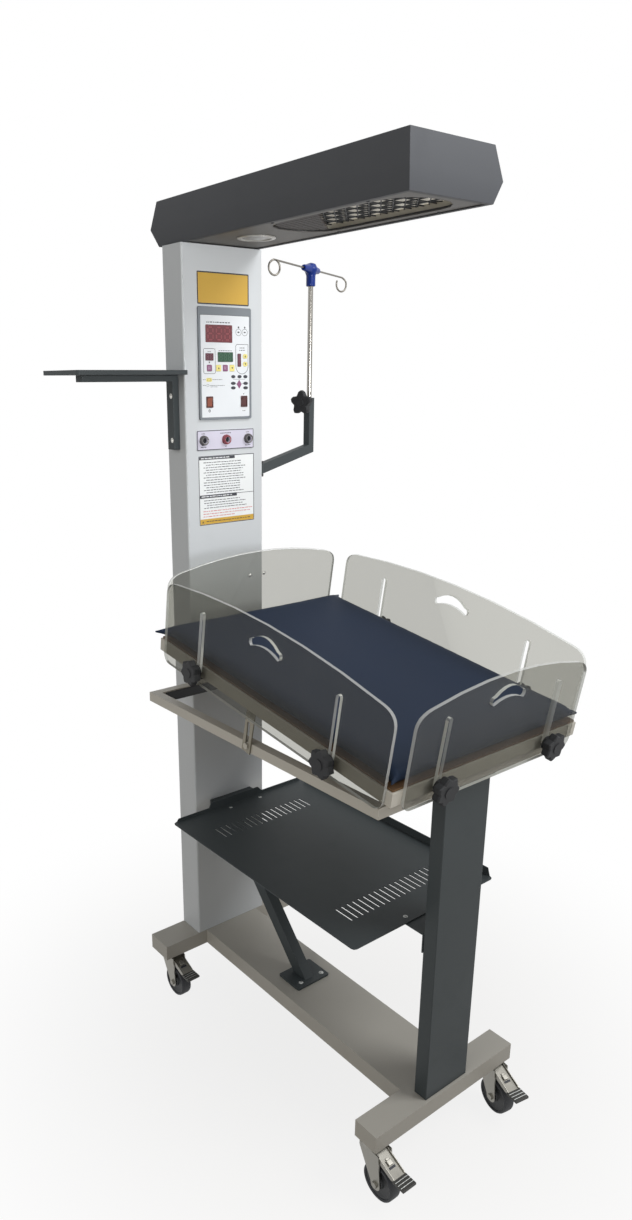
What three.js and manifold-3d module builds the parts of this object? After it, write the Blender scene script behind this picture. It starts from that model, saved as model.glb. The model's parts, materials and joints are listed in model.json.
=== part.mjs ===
// Infant radiant warmer on a wheeled base: a control column carries a heater hood over a
// tilting bed with clear drop-down guards. Millimetres, +Z up, the foot end towards -Y.
import * as THREE from 'three';
import { mergeVertices } from 'three/addons/utils/BufferGeometryUtils.js';
import Module from 'manifold-3d';

const wasm = await Module();
wasm.setup();

// Clearances shared by all pieces
const seat = 0.3;
const runningGap = 0.35;
const boltGap = 0.6;
const overrun = 2;
const weld = 0.0001;

// A share of another length, kept apart from the lengths themselves
function share(part) {
  return part;
}

// Base frame: two crossbars and a wide middle beam, pressed boxes open underneath
const casterHeight = 115;
const baseHeight = 37;
const baseWall = 2.5;
const crossbarHalfLength = 198;
const rearBarDepth = 70;
const frontBarDepth = 55;
const beamHalfWidth = 78;
const beamLength = 662;
const casterPadLength = 62;
const casterPadThickness = 4;
const casterInset = 24;

// Column: a folded sheet channel with a flat rear cover
const columnHalfWidth = 102;
const columnDepth = 70;
const columnHeight = 1588.4;
const columnWall = 2;
const columnFlange = 16;
const columnBend = 4;
const coverThickness = 1.5;
const coverInset = 3;
const coverSlotCount = 8;
const coverSlotPitch = 14;
const coverSlotHeight = 3.4;
const coverSlotLength = 110;

// Hood: a creased shell, wider at its crease than at its top and bottom
const hoodHeight = 85;
const hoodCreaseRise = 32;
const hoodWall = 2.5;
const hoodLipWidth = 9;
const hoodLipSheet = 1.5;
const hoodBottomHalfWidth = 96.3;
const hoodCreaseHalfWidth = 106.7;
const hoodTopHalfWidth = 96.5;
const hoodBottomFront = 600;
const hoodCreaseFront = 608;
const hoodTopFront = 596;
const hoodBottomRear = 91;
const hoodCreaseRear = 105.5;
const hoodTopRear = 95;

// Hood underside: plate, heater opening, guard, reflector, element and examination lamp
const facePlateThickness = 1.5;
const facePlateGap = 0.8;
const openingHalfWidth = 70;
const openingRear = 208;
const openingFront = 574;
const openingPoint = 60;
const bezierReach = 0.75;
const guardWire = 3;
const guardRimWire = 4;
const guardRimHeight = 12;
const guardRimMargin = 5;
const guardBarPitch = 28;
const guardLatticeBars = 2;
const reflectorHalfWidth = 78;
const reflectorRise = 62;
const reflectorWall = 1.2;
const reflectorLip = 8;
const reflectorMargin = 8;
const elementRadius = 5.5;
const elementRise = 34;
const elementCapRadius = 9;
const elementCapLength = 16;
const lampRadius = 38;
const lampBezelWidth = 6;
const lampBezelThickness = 2;
const lampBodyDepth = 30;
const lampLensSag = 3;
const lampFromColumn = 112;

// Control panel on the column front
const panelHalfWidth = 68;
const panelBottom = 1398.6;
const panelHeight = 225;
const panelThickness = 5;
const panelCorner = 4;
const panelRim = 5;
const panelHeader = 16;
const membraneThickness = 2.4;
const membraneBack = 1.6;
const rockerSpacing = 90.8;
const rockerOffset = 2.3;
const rockerRise = 36.4;
const rockerWidth = 13;
const rockerHeight = 19;
const rockerDepth = 8;
const rockerThrow = 9;
const rockerFrame = 1.6;
const rockerPinRadius = 1.5;
const keyWidth = 12.4;
const keyHeight = 12.8;
const keyCorner = 1.5;
const keyProud = 0.9;
const keyThickness = 2.2;
const keyRise = 104.8;
const leftKeyOffset = -42;
const middleKeySpacing = 17.6;
const middleKeyOffset = -1;
const powerKeyWidth = 11.8;
const powerKeyHeight = 9.2;
const powerKeyCorner = 4.2;
const powerKeyOffset = 51.6;
const powerKeyRise = 120.9;
const powerKeySpacing = 15.8;
const displayProud = 0.8;
const mainDisplayWidth = 69;
const mainDisplayHeight = 35;
const mainDisplayOffset = -17;
const mainDisplayRise = 173;
const sideDisplayWidth = 21;
const sideDisplayHeight = 15;
const sideDisplayRise = 127;
const middleDisplayWidth = 40;
const middleDisplayHeight = 20;
const powerDisplayWidth = 10;
const powerDisplayHeight = 27;
const powerDisplayOffset = 35.3;

// Connector plate under the panel
const connectorPlateHalfWidth = 75;
const connectorPlateHeight = 41;
const connectorPlateThickness = 2;
const connectorPlateCorner = 3;
const connectorPlateDrop = 62.6;
const connectorPlateRise = panelBottom - connectorPlateDrop;
const connectorSpacing = 59;
const connectorRadius = 9.5;
const connectorBore = 6;
const connectorLength = 7;

// Front post and the rear carrier that hold the lower bed frame
const postHalfWidth = 59;
const postDepth = 30;
const postPastBeam = 50;
const postFront = beamLength + postPastBeam;
const postWall = 2;
const postHeadThickness = 4;
const bedFrameTube = 20;
const bedFramePastPost = 10;
const bedFrameFront = postFront + bedFramePastPost;
const bedFrameRear = 30;
const bedFrameLevel = 814.5;
const carrierSheet = 3;
const carrierFlangeHeight = 21;
const carrierBackHalfWidth = 80;
const carrierBackHeight = 40;
const carrierGussetDepth = 24;

// Tray: an inverted channel frame that tilts on a hinge at the foot end
const trayTilt = 8.45;
const trayHalfWidth = 240;
const trayPastBeam = 5;
const trayLength = beamLength + trayPastBeam;
const trayRailHeight = 26;
const trayRailWidth = 22;
const trayWall = 2.5;
const trayOverhang = 30;
const trayFrontY = -(bedFrameFront + trayOverhang);
const trayLift = 15;
const trayFrontLevel = bedFrameLevel + bedFrameTube + trayLift;
const bedFrameInset = 6.2;
const bedFrameHalfWidth = trayHalfWidth - bedFrameInset;
const carrierInset = 28.8;
const carrierHalfWidth = bedFrameHalfWidth - carrierInset;
const hingeFromFront = 38.3;
const hingeDrop = 14.3;
const knuckleRadius = 6;
const knuckleLength = 20;
const hingePinRadius = 2.8;
const hingeSpacing = 300;
const boardThickness = 4;
const boardInset = 3;

// Stay: a slotted flat bar beside the left rails
const stayWidth = 24;
const stayThickness = 2.8;
const stayPinAlong = 358;
const stayPinRise = 10;
const stayPinRadius = 3.5;
const stayTail = 13;
const staySlotSteps = 8;
const staySwingRatio = -1.15;
const stayBoltAlong = 370.4;
const stayBoltY = trayFrontY + stayBoltAlong;
const stayBoltDrop = 6.7;
const stayBoltHead = 6.5;
const stayBoltHeadThickness = 2.4;

// Mattress with a welded seam that ends in small ears
const mattressInset = 3;
const mattressHalfWidth = trayHalfWidth - mattressInset;
const mattressLength = trayLength - mattressInset * 2;
const mattressThickness = 26;
const mattressCrown = 2;
const mattressEar = 7;
const mattressEarReach = 15;

// Clear guards, clamped by star knobs on studs through their slots
const guardThickness = 6;
const guardDrop = 14;
const guardCrest = 183;
const guardShoulder = 161;
const guardCorner = 30;
const guardFootCorner = 20;
const sideGuardStart = 13;
const sideGuardHeadInset = 24;
const sideGuardEnd = trayLength - sideGuardHeadInset;
const endGuardInset = 22;
const endGuardHalfWidth = trayHalfWidth - endGuardInset;
const headGuardInset = 14;
const headGuardHalfWidth = trayHalfWidth - headGuardInset;
const guardSlotWidth = 9.6;
const guardSlotTravel = 117;
const studRise = 14;
const sideSlotInset = 123.5;
const sideSlotSpacing = sideGuardEnd - sideGuardStart - sideSlotInset * 2;
const endSlotInset = 76;
const endSlotSpacing = (endGuardHalfWidth - endSlotInset) * 2;
const gripWidth = 86;
const gripHeight = 20;
const gripRise = 139;
const gripBow = 9;
const studRadius = 4;
const studReach = 16;
const studGap = 0.5;
const studFacets = 8;
const guardScrewRadius = 3;
const guardScrewHead = 6.5;
const guardScrewHeadThickness = 3;
const knobRadius = 26;
const knobWaist = 20.5;
const knobLobes = 7;
const knobFacets = 4;
const knobThickness = 15;
const knobHubRadius = 13;
const knobHubLength = 9;
const knobBevel = 2;
const knobCapRadius = 10;
const knobCapRise = 1.5;

// Drip pole on a swinging arm at the column's right side
const armSwing = 17;
const armClimb = 8.8;
const armLevel = 1284;
const armReach = 213;
const armTubeHeight = 22;
const armTubeWidth = 16;
const armPostHeight = 152.8;
const armPostTop = armLevel + armPostHeight;
const armPivotOut = 18;
const armEyeRadius = 10;
const armPinRadius = 4;
const armEarThickness = 5;
const armPlateThickness = 4;
const armPlateWidth = 40;
const armPlateHeight = 62;
const poleRadius = 6;
const poleLength = 368.2;
const poleInArm = 95;
const poleBottom = armPostTop - poleInArm;
const poleTop = poleBottom + poleLength;
const poleKnobLobes = 5;
const poleKnobFacets = 6;
const poleKnobDrop = 11;
const poleKnobRadius = 29;
const poleKnobWaist = 19;
const poleKnobNeck = 15;
const poleKnobLevel = armPostTop - poleKnobDrop;
const teeRise = 15.4;
const teeLevel = poleTop + teeRise;
const teeRadius = 11.5;
const teeEndRadius = 6.7;
const teeHalfLength = 44;
const teeTurn = 9;
const teeNeckRadius = 11;
const teeNeckLap = 22;
const teeNeckBottom = poleTop - teeNeckLap;
const hookWireRadius = 2.2;
const hookReach = 196.5;
const hookLoopRadius = 18.2;
const hookTurn = 305;
const hookTwist = 26;
const hookSteps = 18;

// Monitor shelf on a bracket at the column's left side
const monitorBarWidth = 25;
const monitorBarThickness = 15;
const monitorLegBottom = 1338.5;
const monitorBarTop = 1490;
const monitorArmLength = 223;
const monitorArmHeight = 13;
const monitorPlateStart = 4;
const monitorPlateLength = 250;
const monitorPlateFront = 23;
const monitorPlateDepth = 153;
const monitorPlateSheet = 2;
const monitorPlateLip = 9;
const monitorPlateCorner = 6;

// Lower shelf, its front bracket and the strut under it
const shelfHalfWidth = 195;
const shelfFrontInset = 22;
const shelfFront = beamLength - shelfFrontInset;
const shelfRear = 45;
const shelfLevel = 510.6;
const shelfSheet = 2;
const shelfUpstand = 17;
const shelfRearUpstand = 7;
const shelfUpstandChamfer = 6;
const shelfCorner = 8;
const shelfTongueLeft = 95;
const shelfTongueRight = 62;
const shelfTongueSlope = 6;
const shelfTongueRise = 19;
const shelfFootHalfWidth = 60;
const shelfFootHeight = 18;
const louvreCount = 18;
const louvrePitch = 14.5;
const louvreWidth = 3.2;
const louvreLength = 47;
const louvreOffset = -10.5;
const louvreRearInset = 103;
const louvreRearY = -(shelfRear + louvreRearInset);
const louvreFrontInset = 91;
const louvreFrontY = -(shelfFront - louvreFrontInset);
const shelfBracketHalfWidth = 60;
const shelfBracketLap = 28;
const shelfBracketDrop = 40;
const shelfBracketSheet = 3;
const strutAngle = 47.5;
const strutWidth = 25;
const strutDepth = 32;
const strutFootY = -285;
const strutPlateHalfWidth = 47;
const strutPlateDepth = 71;
const strutPlateThickness = 4;
const strutHeadHalfWidth = 35;
const strutHeadHeight = 52;
const strutPlateCorner = 5;

// Casters: swivel head, legs, wheel and brake pedal
const wheelRadius = 37.5;
const wheelWidth = 27;
const wheelShoulder = 6;
const wheelHubRadius = 13;
const wheelDish = 4;
const wheelFacets = 20;
const axleRadius = 4;
const axleNutRadius = 6.5;
const axleNutLength = 4;
const casterTrail = 25;
const casterHeadings = [-91, -100, -89, 143];
const rearCasterStep = 13;
const swivelRadius = 22;
const swivelHeight = 9;
const crownThickness = 4;
const legThickness = 2.5;
const legGap = 2;
const crownRear = 20;
const crownFront = 7.5;
const legTopFront = 30;
const legHeelRadius = 12;
const pedalSheet = 2.5;
const pedalReach = 53;
const pedalDrop = 22;
const pedalPadLength = 28;
const pedalPadThickness = 5;
const pedalPadWidth = 34;
const pedalPinForward = 14;
const pedalPinDrop = 17;
const pedalPinRadius = 2.5;
const pedalEyeRadius = 5.2;
const pedalRibs = 3;
const pedalRibHeight = 1.4;
const pedalRibWidth = 2.6;
const pedalWindow = 12;

// Middle of the part's outer box, which stands over the origin
const footprintX = 82.134;
const footprintY = -300.234;

// Levels and places worked out from the sizes above
const baseTop = casterHeight + baseHeight;
const columnBottom = baseTop + seat;
const columnTop = columnBottom + columnHeight;
const hoodBottom = columnTop + seat;
const tilt = THREE.MathUtils.degToRad(trayTilt);
const bedFrameTop = bedFrameLevel + bedFrameTube;
const round = 24;

function colour(hex, roughness, metalness, extra = {}) {
  return new THREE.MeshStandardMaterial({ color: hex, roughness, metalness, ...extra });
}

const paint = {
  column: colour(0xd3d7d8, 0.55, 0.1),
  base: colour(0xbdbab0, 0.55, 0.1),
  slate: colour(0x41484c, 0.5, 0.2),
  hood: colour(0x5c6064, 0.5, 0.2),
  faceplate: colour(0x8f8f8b, 0.5, 0.2),
  bedframe: colour(0xc9c7bd, 0.5, 0.1),
  black: colour(0x1c1d1f, 0.5, 0.1),
};
const metal = {
  chrome: colour(0xc8ccd0, 0.15, 1),
  zinc: colour(0xa5aaac, 0.35, 0.9),
  mirror: colour(0xe6e6e2, 0.08, 1),
};
const plastic = {
  knob: colour(0x17181a, 0.45, 0),
  blue: colour(0x1f55b0, 0.35, 0),
  membrane: colour(0xeef0f2, 0.45, 0),
  bezel: colour(0x8d9396, 0.5, 0),
  plum: colour(0x6b2a5a, 0.5, 0),
  yellow: colour(0xe3c23a, 0.5, 0),
  redRocker: colour(0xb4412a, 0.4, 0),
  darkRocker: colour(0x6e1a1a, 0.4, 0),
  socket: colour(0xcfc8dc, 0.5, 0),
  clear: colour(0xe6eef0, 0.05, 0, { transparent: true, opacity: 0.3 }),
  tyre: colour(0x25272b, 0.7, 0),
};
const ceramic = colour(0xd8d2c4, 0.6, 0);
const lens = colour(0xf2f0e6, 0.2, 0);
const plywood = colour(0x8a6a48, 0.7, 0);
const vinyl = colour(0x2c3a55, 0.5, 0);

// Solids: closed geometry to and from the boolean library
function solid(geometry) {
  const bare = geometry.clone();
  bare.deleteAttribute('normal');
  bare.deleteAttribute('uv');
  const merged = mergeVertices(bare, weld);
  const mesh = new wasm.Mesh({
    numProp: 3,
    vertProperties: new Float32Array(merged.attributes.position.array),
    triVerts: new Uint32Array(merged.index.array),
  });
  return new wasm.Manifold(mesh);
}

function surface(manifold) {
  const mesh = manifold.getMesh();
  const geometry = new THREE.BufferGeometry();
  geometry.setAttribute('position', new THREE.BufferAttribute(new Float32Array(mesh.vertProperties), 3));
  geometry.setIndex(new THREE.BufferAttribute(new Uint32Array(mesh.triVerts), 1));
  geometry.computeVertexNormals();
  return geometry;
}

function join(...pieces) {
  return surface(pieces.map(solid).reduce((whole, piece) => whole.add(piece)));
}

function cut(body, ...tools) {
  return surface(tools.map(solid).reduce((whole, tool) => whole.subtract(tool), solid(body)));
}

// A box between two limits on each axis
function block(x0, x1, y0, y1, z0, z1) {
  const box = new THREE.BoxGeometry(x1 - x0, y1 - y0, z1 - z0);
  return box.translate((x0 + x1) / 2, (y0 + y1) / 2, (z0 + z1) / 2);
}

// A box that is the same on both sides of the middle plane
function slab(halfWidth, y0, y1, z0, z1) {
  return block(-halfWidth, halfWidth, y0, y1, z0, z1);
}

// Extrusions of an outline along each axis, between two limits
function alongZ(shape, z0, z1, steps = round / 2) {
  const geometry = new THREE.ExtrudeGeometry(shape, { depth: z1 - z0, bevelEnabled: false, curveSegments: steps });
  return geometry.translate(0, 0, z0);
}

function alongX(shape, x0, x1, steps = round / 2) {
  const turn = new THREE.Matrix4().makeBasis(
    new THREE.Vector3(0, 1, 0),
    new THREE.Vector3(0, 0, 1),
    new THREE.Vector3(1, 0, 0),
  );
  return alongZ(shape, x0, x1, steps).applyMatrix4(turn);
}

// The outline's x stays x and its y becomes z; the depth runs from y1 back to y0
function alongY(shape, y0, y1, steps = round / 2) {
  return alongZ(shape, -y1, -y0, steps).rotateX(Math.PI / 2);
}

function outline(points) {
  return new THREE.Shape(points.map(([x, y]) => new THREE.Vector2(x, y)));
}

function roundedRect(width, height, radius, x = 0, y = 0) {
  const shape = new THREE.Shape();
  const right = x + width / 2;
  const left = x - width / 2;
  const top = y + height / 2;
  const bottom = y - height / 2;
  shape.moveTo(left + radius, bottom);
  shape.lineTo(right - radius, bottom);
  shape.absarc(right - radius, bottom + radius, radius, -Math.PI / 2, 0, false);
  shape.lineTo(right, top - radius);
  shape.absarc(right - radius, top - radius, radius, 0, Math.PI / 2, false);
  shape.lineTo(left + radius, top);
  shape.absarc(left + radius, top - radius, radius, Math.PI / 2, Math.PI, false);
  shape.lineTo(left, bottom + radius);
  shape.absarc(left + radius, bottom + radius, radius, Math.PI, Math.PI * 1.5, false);
  return shape;
}

// A slot with round ends: its width across, its length between the end centres
function slotShape(width, x0, y0, x1, y1) {
  const radius = width / 2;
  const heading = Math.atan2(y1 - y0, x1 - x0);
  const shape = new THREE.Shape();
  shape.absarc(x1, y1, radius, heading - Math.PI / 2, heading + Math.PI / 2, false);
  shape.absarc(x0, y0, radius, heading + Math.PI / 2, heading + Math.PI * 1.5, false);
  return shape;
}

// A cylinder with its axis along x, y or z, from one limit to the other
function rod(radius, axis, from, to, sides = round) {
  const cylinder = new THREE.CylinderGeometry(radius, radius, to - from, sides);
  if (axis === 'x') cylinder.rotateZ(-Math.PI / 2).translate((from + to) / 2, 0, 0);
  if (axis === 'y') cylinder.translate(0, (from + to) / 2, 0);
  if (axis === 'z') cylinder.rotateX(Math.PI / 2).translate(0, 0, (from + to) / 2);
  return cylinder;
}

// A closed loft through rings that have the same number of points
function loft(rings) {
  const count = rings[0].length;
  const positions = rings.flat(2);
  const index = [];
  for (let ring = 0; ring < rings.length - 1; ring += 1) {
    for (let i = 0; i < count; i += 1) {
      const next = (i + 1) % count;
      const low = ring * count;
      const high = low + count;
      index.push(low + i, low + next, high + next, low + i, high + next, high + i);
    }
  }
  const last = (rings.length - 1) * count;
  for (let i = 1; i < count - 1; i += 1) {
    index.push(0, i + 1, i);
    index.push(last, last + i, last + i + 1);
  }
  const geometry = new THREE.BufferGeometry();
  geometry.setAttribute('position', new THREE.Float32BufferAttribute(positions, 3));
  geometry.setIndex(index);
  geometry.computeVertexNormals();
  return geometry;
}

function ringOfBox(halfWidth, y0, y1, z) {
  return [[-halfWidth, y0, z], [halfWidth, y0, z], [halfWidth, y1, z], [-halfWidth, y1, z]];
}

const warmer = new THREE.Group();
warmer.name = 'infant_radiant_warmer';

function place(group, name, geometry, material) {
  const mesh = new THREE.Mesh(geometry, material);
  mesh.name = name;
  group.add(mesh);
  return mesh;
}

// Base frame, open underneath except at the pads that take the casters
const rearBarMiddle = rearBarDepth / 2;
const frontBarMiddle = -(beamLength + frontBarDepth / 2);

function baseFrame() {
  const z0 = casterHeight;
  const frontEnd = beamLength + frontBarDepth;
  const skin = join(
    slab(crossbarHalfLength, 0, rearBarDepth, z0, baseTop),
    slab(beamHalfWidth, -beamLength - overrun, overrun, z0, baseTop),
    slab(crossbarHalfLength, -frontEnd, -beamLength, z0, baseTop),
  );
  const low = z0 - overrun;
  const roof = baseTop - baseWall;
  const hollow = cut(
    skin,
    slab(crossbarHalfLength - baseWall, baseWall, rearBarDepth - baseWall, low, roof),
    slab(beamHalfWidth - baseWall, -beamLength + overrun, -overrun, low, roof),
    slab(crossbarHalfLength - baseWall, -frontEnd + baseWall, -beamLength - baseWall, low, roof),
  );
  const pads = [-1, 1].flatMap((side) => {
    const outer = side * crossbarHalfLength;
    const inner = side * (crossbarHalfLength - casterPadLength);
    const x0 = Math.min(outer, inner);
    const x1 = Math.max(outer, inner);
    return [
      block(x0, x1, 0, rearBarDepth, z0, z0 + casterPadThickness),
      block(x0, x1, -frontEnd, -beamLength, z0, z0 + casterPadThickness),
    ];
  });
  return join(hollow, ...pads);
}
place(warmer, 'base_frame', baseFrame(), paint.base);

// Column channel with bent front corners and return flanges at the rear
function columnShape() {
  const shape = new THREE.Shape();
  const w = columnHalfWidth;
  const inner = w - columnWall;
  const back = columnDepth;
  const bend = columnBend;
  const tight = columnBend - columnWall;
  shape.moveTo(-w + columnFlange, back);
  shape.lineTo(-w, back);
  shape.lineTo(-w, bend);
  shape.absarc(-w + bend, bend, bend, Math.PI, Math.PI * 1.5, false);
  shape.lineTo(w - bend, 0);
  shape.absarc(w - bend, bend, bend, -Math.PI / 2, 0, false);
  shape.lineTo(w, back);
  shape.lineTo(w - columnFlange, back);
  shape.lineTo(w - columnFlange, back - columnWall);
  shape.lineTo(inner, back - columnWall);
  shape.lineTo(inner, bend);
  shape.absarc(w - bend, bend, tight, 0, -Math.PI / 2, true);
  shape.lineTo(-w + bend, columnWall);
  shape.absarc(-w + bend, bend, tight, -Math.PI / 2, -Math.PI, true);
  shape.lineTo(-inner, back - columnWall);
  shape.lineTo(-w + columnFlange, back - columnWall);
  return shape;
}

// The rockers sit in windows through the column's front sheet
const rockerPlaces = [rockerOffset - rockerSpacing / 2, rockerOffset + rockerSpacing / 2];
const rockerLevel = panelBottom + rockerRise;

function rockerPocket(x, y0, y1) {
  const halfWidth = rockerWidth / 2 + rockerFrame;
  const halfHeight = rockerHeight / 2 + rockerFrame;
  return block(x - halfWidth, x + halfWidth, y0, y1, rockerLevel - halfHeight, rockerLevel + halfHeight);
}

function column() {
  const channel = alongZ(columnShape(), columnBottom, columnTop, 4);
  return cut(channel, ...rockerPlaces.map((x) => rockerPocket(x, -overrun, columnWall + overrun)));
}
place(warmer, 'column', column(), paint.column);

function rearCover() {
  const half = columnHalfWidth - coverInset;
  const shape = roundedRect(half * 2, columnHeight - coverInset * 2, coverInset, 0, (columnBottom + columnTop) / 2);
  const top = columnTop - coverSlotLength;
  for (let i = 0; i < coverSlotCount; i += 1) {
    const z = top - i * coverSlotPitch;
    shape.holes.push(slotShape(coverSlotHeight, -coverSlotLength / 2, z, coverSlotLength / 2, z));
  }
  const y = columnDepth + seat;
  return alongY(shape, y, y + coverThickness, 2);
}
place(warmer, 'column_rear_cover', rearCover(), paint.column);

// Hood shell
function hoodRings(inset, bottom, top) {
  return [
    ringOfBox(hoodBottomHalfWidth - inset, -hoodBottomFront + inset, hoodBottomRear - inset, bottom),
    ringOfBox(hoodCreaseHalfWidth - inset, -hoodCreaseFront + inset, hoodCreaseRear - inset, hoodBottom + hoodCreaseRise),
    ringOfBox(hoodTopHalfWidth - inset, -hoodTopFront + inset, hoodTopRear - inset, top),
  ];
}

// The shell turns in at its lower edge, and the faceplate rests on that lip
function hoodShell() {
  const outer = loft(hoodRings(0, hoodBottom, hoodBottom + hoodHeight));
  const inner = loft(hoodRings(hoodWall, hoodBottom + hoodLipSheet, hoodBottom + hoodHeight - hoodWall));
  const mouth = slab(
    hoodBottomHalfWidth - hoodLipWidth,
    -hoodBottomFront + hoodLipWidth,
    hoodBottomRear - hoodLipWidth,
    hoodBottom - overrun,
    hoodBottom + overrun,
  );
  return cut(outer, inner, mouth);
}
place(warmer, 'hood_shell', hoodShell(), paint.hood);

// The heater opening is a long outline with blunt pointed ends
function openingShape(margin) {
  const middle = -(openingRear + openingFront) / 2;
  const half = (openingFront - openingRear) / 2 + margin;
  const width = openingHalfWidth + margin;
  const shoulder = half - openingPoint;
  const pull = shoulder + openingPoint / share(bezierReach);
  const shape = new THREE.Shape();
  shape.moveTo(-width, middle - shoulder);
  shape.bezierCurveTo(-width, middle - pull, width, middle - pull, width, middle - shoulder);
  shape.lineTo(width, middle + shoulder);
  shape.bezierCurveTo(width, middle + pull, -width, middle + pull, -width, middle + shoulder);
  return shape;
}

const facePlateBottom = hoodBottom + hoodLipSheet + seat;
const facePlateTop = facePlateBottom + facePlateThickness;
const lampY = -lampFromColumn;

function facePlate() {
  const half = hoodBottomHalfWidth - hoodWall - facePlateGap;
  const front = hoodBottomFront - hoodWall - facePlateGap;
  const rear = hoodBottomRear - hoodWall - facePlateGap;
  const shape = outline([[-half, -front], [half, -front], [half, rear], [-half, rear]]);
  shape.holes.push(openingShape(0));
  const lampHole = new THREE.Path().absarc(0, lampY, lampRadius - lampBezelWidth / 2, 0, Math.PI * 2, false);
  shape.holes.push(lampHole);
  return alongZ(shape, facePlateBottom, facePlateTop, 8);
}
place(warmer, 'hood_faceplate', facePlate(), paint.faceplate);

// Guard above the opening: a standing rim, with straight bars across its top and a diamond lattice
function wire(from, to, thickness) {
  const start = new THREE.Vector3(...from);
  const end = new THREE.Vector3(...to);
  const length = start.distanceTo(end);
  const bar = new THREE.BoxGeometry(thickness, thickness, length);
  const turn = new THREE.Quaternion().setFromUnitVectors(
    new THREE.Vector3(0, 0, 1),
    end.clone().sub(start).normalize(),
  );
  bar.applyQuaternion(turn);
  const middle = start.add(end).multiplyScalar(0.5);
  return bar.translate(middle.x, middle.y, middle.z);
}

function heaterGuard() {
  const z0 = facePlateTop + seat;
  const rim = openingShape(guardRimMargin);
  rim.holes.push(openingShape(guardRimMargin - guardRimWire));
  const frame = alongZ(rim, z0, z0 + guardRimHeight, 8);
  const z = z0 + guardRimHeight - guardRimWire / 2;
  const reach = openingHalfWidth + guardRimMargin;
  const front = -openingFront;
  const count = Math.floor((openingFront - openingRear) / guardBarPitch);
  const start = front + (openingFront - openingRear - count * guardBarPitch) / 2;
  const bars = [];
  for (let i = 0; i <= count; i += 1) {
    const y = start + i * guardBarPitch;
    bars.push(wire([-reach, y, z], [reach, y, z], guardWire));
    if (i + guardLatticeBars > count || i % guardLatticeBars) continue;
    const next = y + guardBarPitch * guardLatticeBars;
    bars.push(wire([-reach, y, z], [reach, next, z], guardWire));
    bars.push(wire([reach, y, z], [-reach, next, z], guardWire));
  }
  const field = alongZ(openingShape(guardRimMargin - guardRimWire / 2), z0 - overrun, z0 + guardRimHeight + overrun, 8);
  const lattice = bars.map(solid).reduce((whole, bar) => whole.add(bar)).intersect(solid(field));
  return surface(lattice.add(solid(frame)));
}
place(warmer, 'heater_guard', heaterGuard(), paint.black);

// Reflector trough with closed ends, and the heating element between them
const reflectorBottom = facePlateTop + seat;
const reflectorFront = -openingFront - reflectorMargin;
const reflectorRear = -openingRear + reflectorMargin;

function troughShape(inset) {
  const half = reflectorHalfWidth - inset;
  const top = reflectorBottom + reflectorRise - inset;
  const waist = half * 0.55;
  const shape = new THREE.Shape();
  shape.moveTo(-half, reflectorBottom - inset);
  shape.lineTo(half, reflectorBottom - inset);
  shape.lineTo(half, reflectorBottom + reflectorLip);
  shape.quadraticCurveTo(half, top, waist * 0.5, top);
  shape.lineTo(-waist * 0.5, top);
  shape.quadraticCurveTo(-half, top, -half, reflectorBottom + reflectorLip);
  return shape;
}

function reflector() {
  const outer = alongY(troughShape(0), reflectorFront, reflectorRear, 6);
  const inner = alongY(troughShape(reflectorWall), reflectorFront + reflectorWall, reflectorRear - reflectorWall, 6);
  return cut(outer, inner);
}
place(warmer, 'reflector', reflector(), metal.mirror);

function heaterElement() {
  const front = reflectorFront + reflectorWall + seat;
  const rear = reflectorRear - reflectorWall - seat;
  const z = reflectorBottom + elementRise;
  return join(
    rod(elementRadius, 'y', front, rear, 12),
    rod(elementCapRadius, 'y', front, front + elementCapLength, 12),
    rod(elementCapRadius, 'y', rear - elementCapLength, rear, 12),
  ).translate(0, 0, z);
}
place(warmer, 'heater_element', heaterElement(), ceramic);

// Examination lamp: a bezel under the plate, its body through the hole
function examLamp() {
  const z = facePlateBottom - seat;
  const body = lampRadius - lampBezelWidth;
  const points = [
    [0, z - lampBezelThickness / 2 - lampLensSag / 2],
    [body * 0.6, z - lampBezelThickness / 2 - lampLensSag / 3],
    [body * 0.9, z - lampBezelThickness / 2],
    [body, z - lampBezelThickness],
    [lampRadius, z - lampBezelThickness],
    [lampRadius, z],
    [body, z],
    [body, z + lampBodyDepth],
    [0, z + lampBodyDepth],
  ];
  const profile = points.map(([x, y]) => new THREE.Vector2(x, y));
  return new THREE.LatheGeometry(profile, round).rotateX(Math.PI / 2).translate(0, lampY, 0);
}
place(warmer, 'exam_lamp', examLamp(), lens);

// Control panel: bezel with a window, membrane, rockers and keys
const panelTop = panelBottom + panelHeight;
const panelBack = -seat;
const panelFront = panelBack - panelThickness;
const membraneTop = panelTop - panelHeader;
const membraneBottom = panelBottom + panelRim;
const membraneHalfWidth = panelHalfWidth - panelRim;
const membraneFront = panelBack - membraneBack - seat - membraneThickness;
const rockerPinY = (panelFront + panelBack) / 2;
const keyLevel = panelBottom + keyRise;
const powerKeyLevel = panelBottom + powerKeyRise;

function bezel() {
  const middle = (panelBottom + panelTop) / 2;
  const plate = alongY(roundedRect(panelHalfWidth * 2, panelHeight, panelCorner, 0, middle), panelFront, panelBack, 3);
  const window = slab(membraneHalfWidth, panelFront - overrun, panelBack - membraneBack, membraneBottom, membraneTop);
  const pockets = rockerPlaces.map((x) => rockerPocket(x, panelFront - overrun, panelBack + overrun));
  return cut(plate, window, ...pockets);
}
place(warmer, 'control_bezel', bezel(), plastic.bezel);

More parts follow.
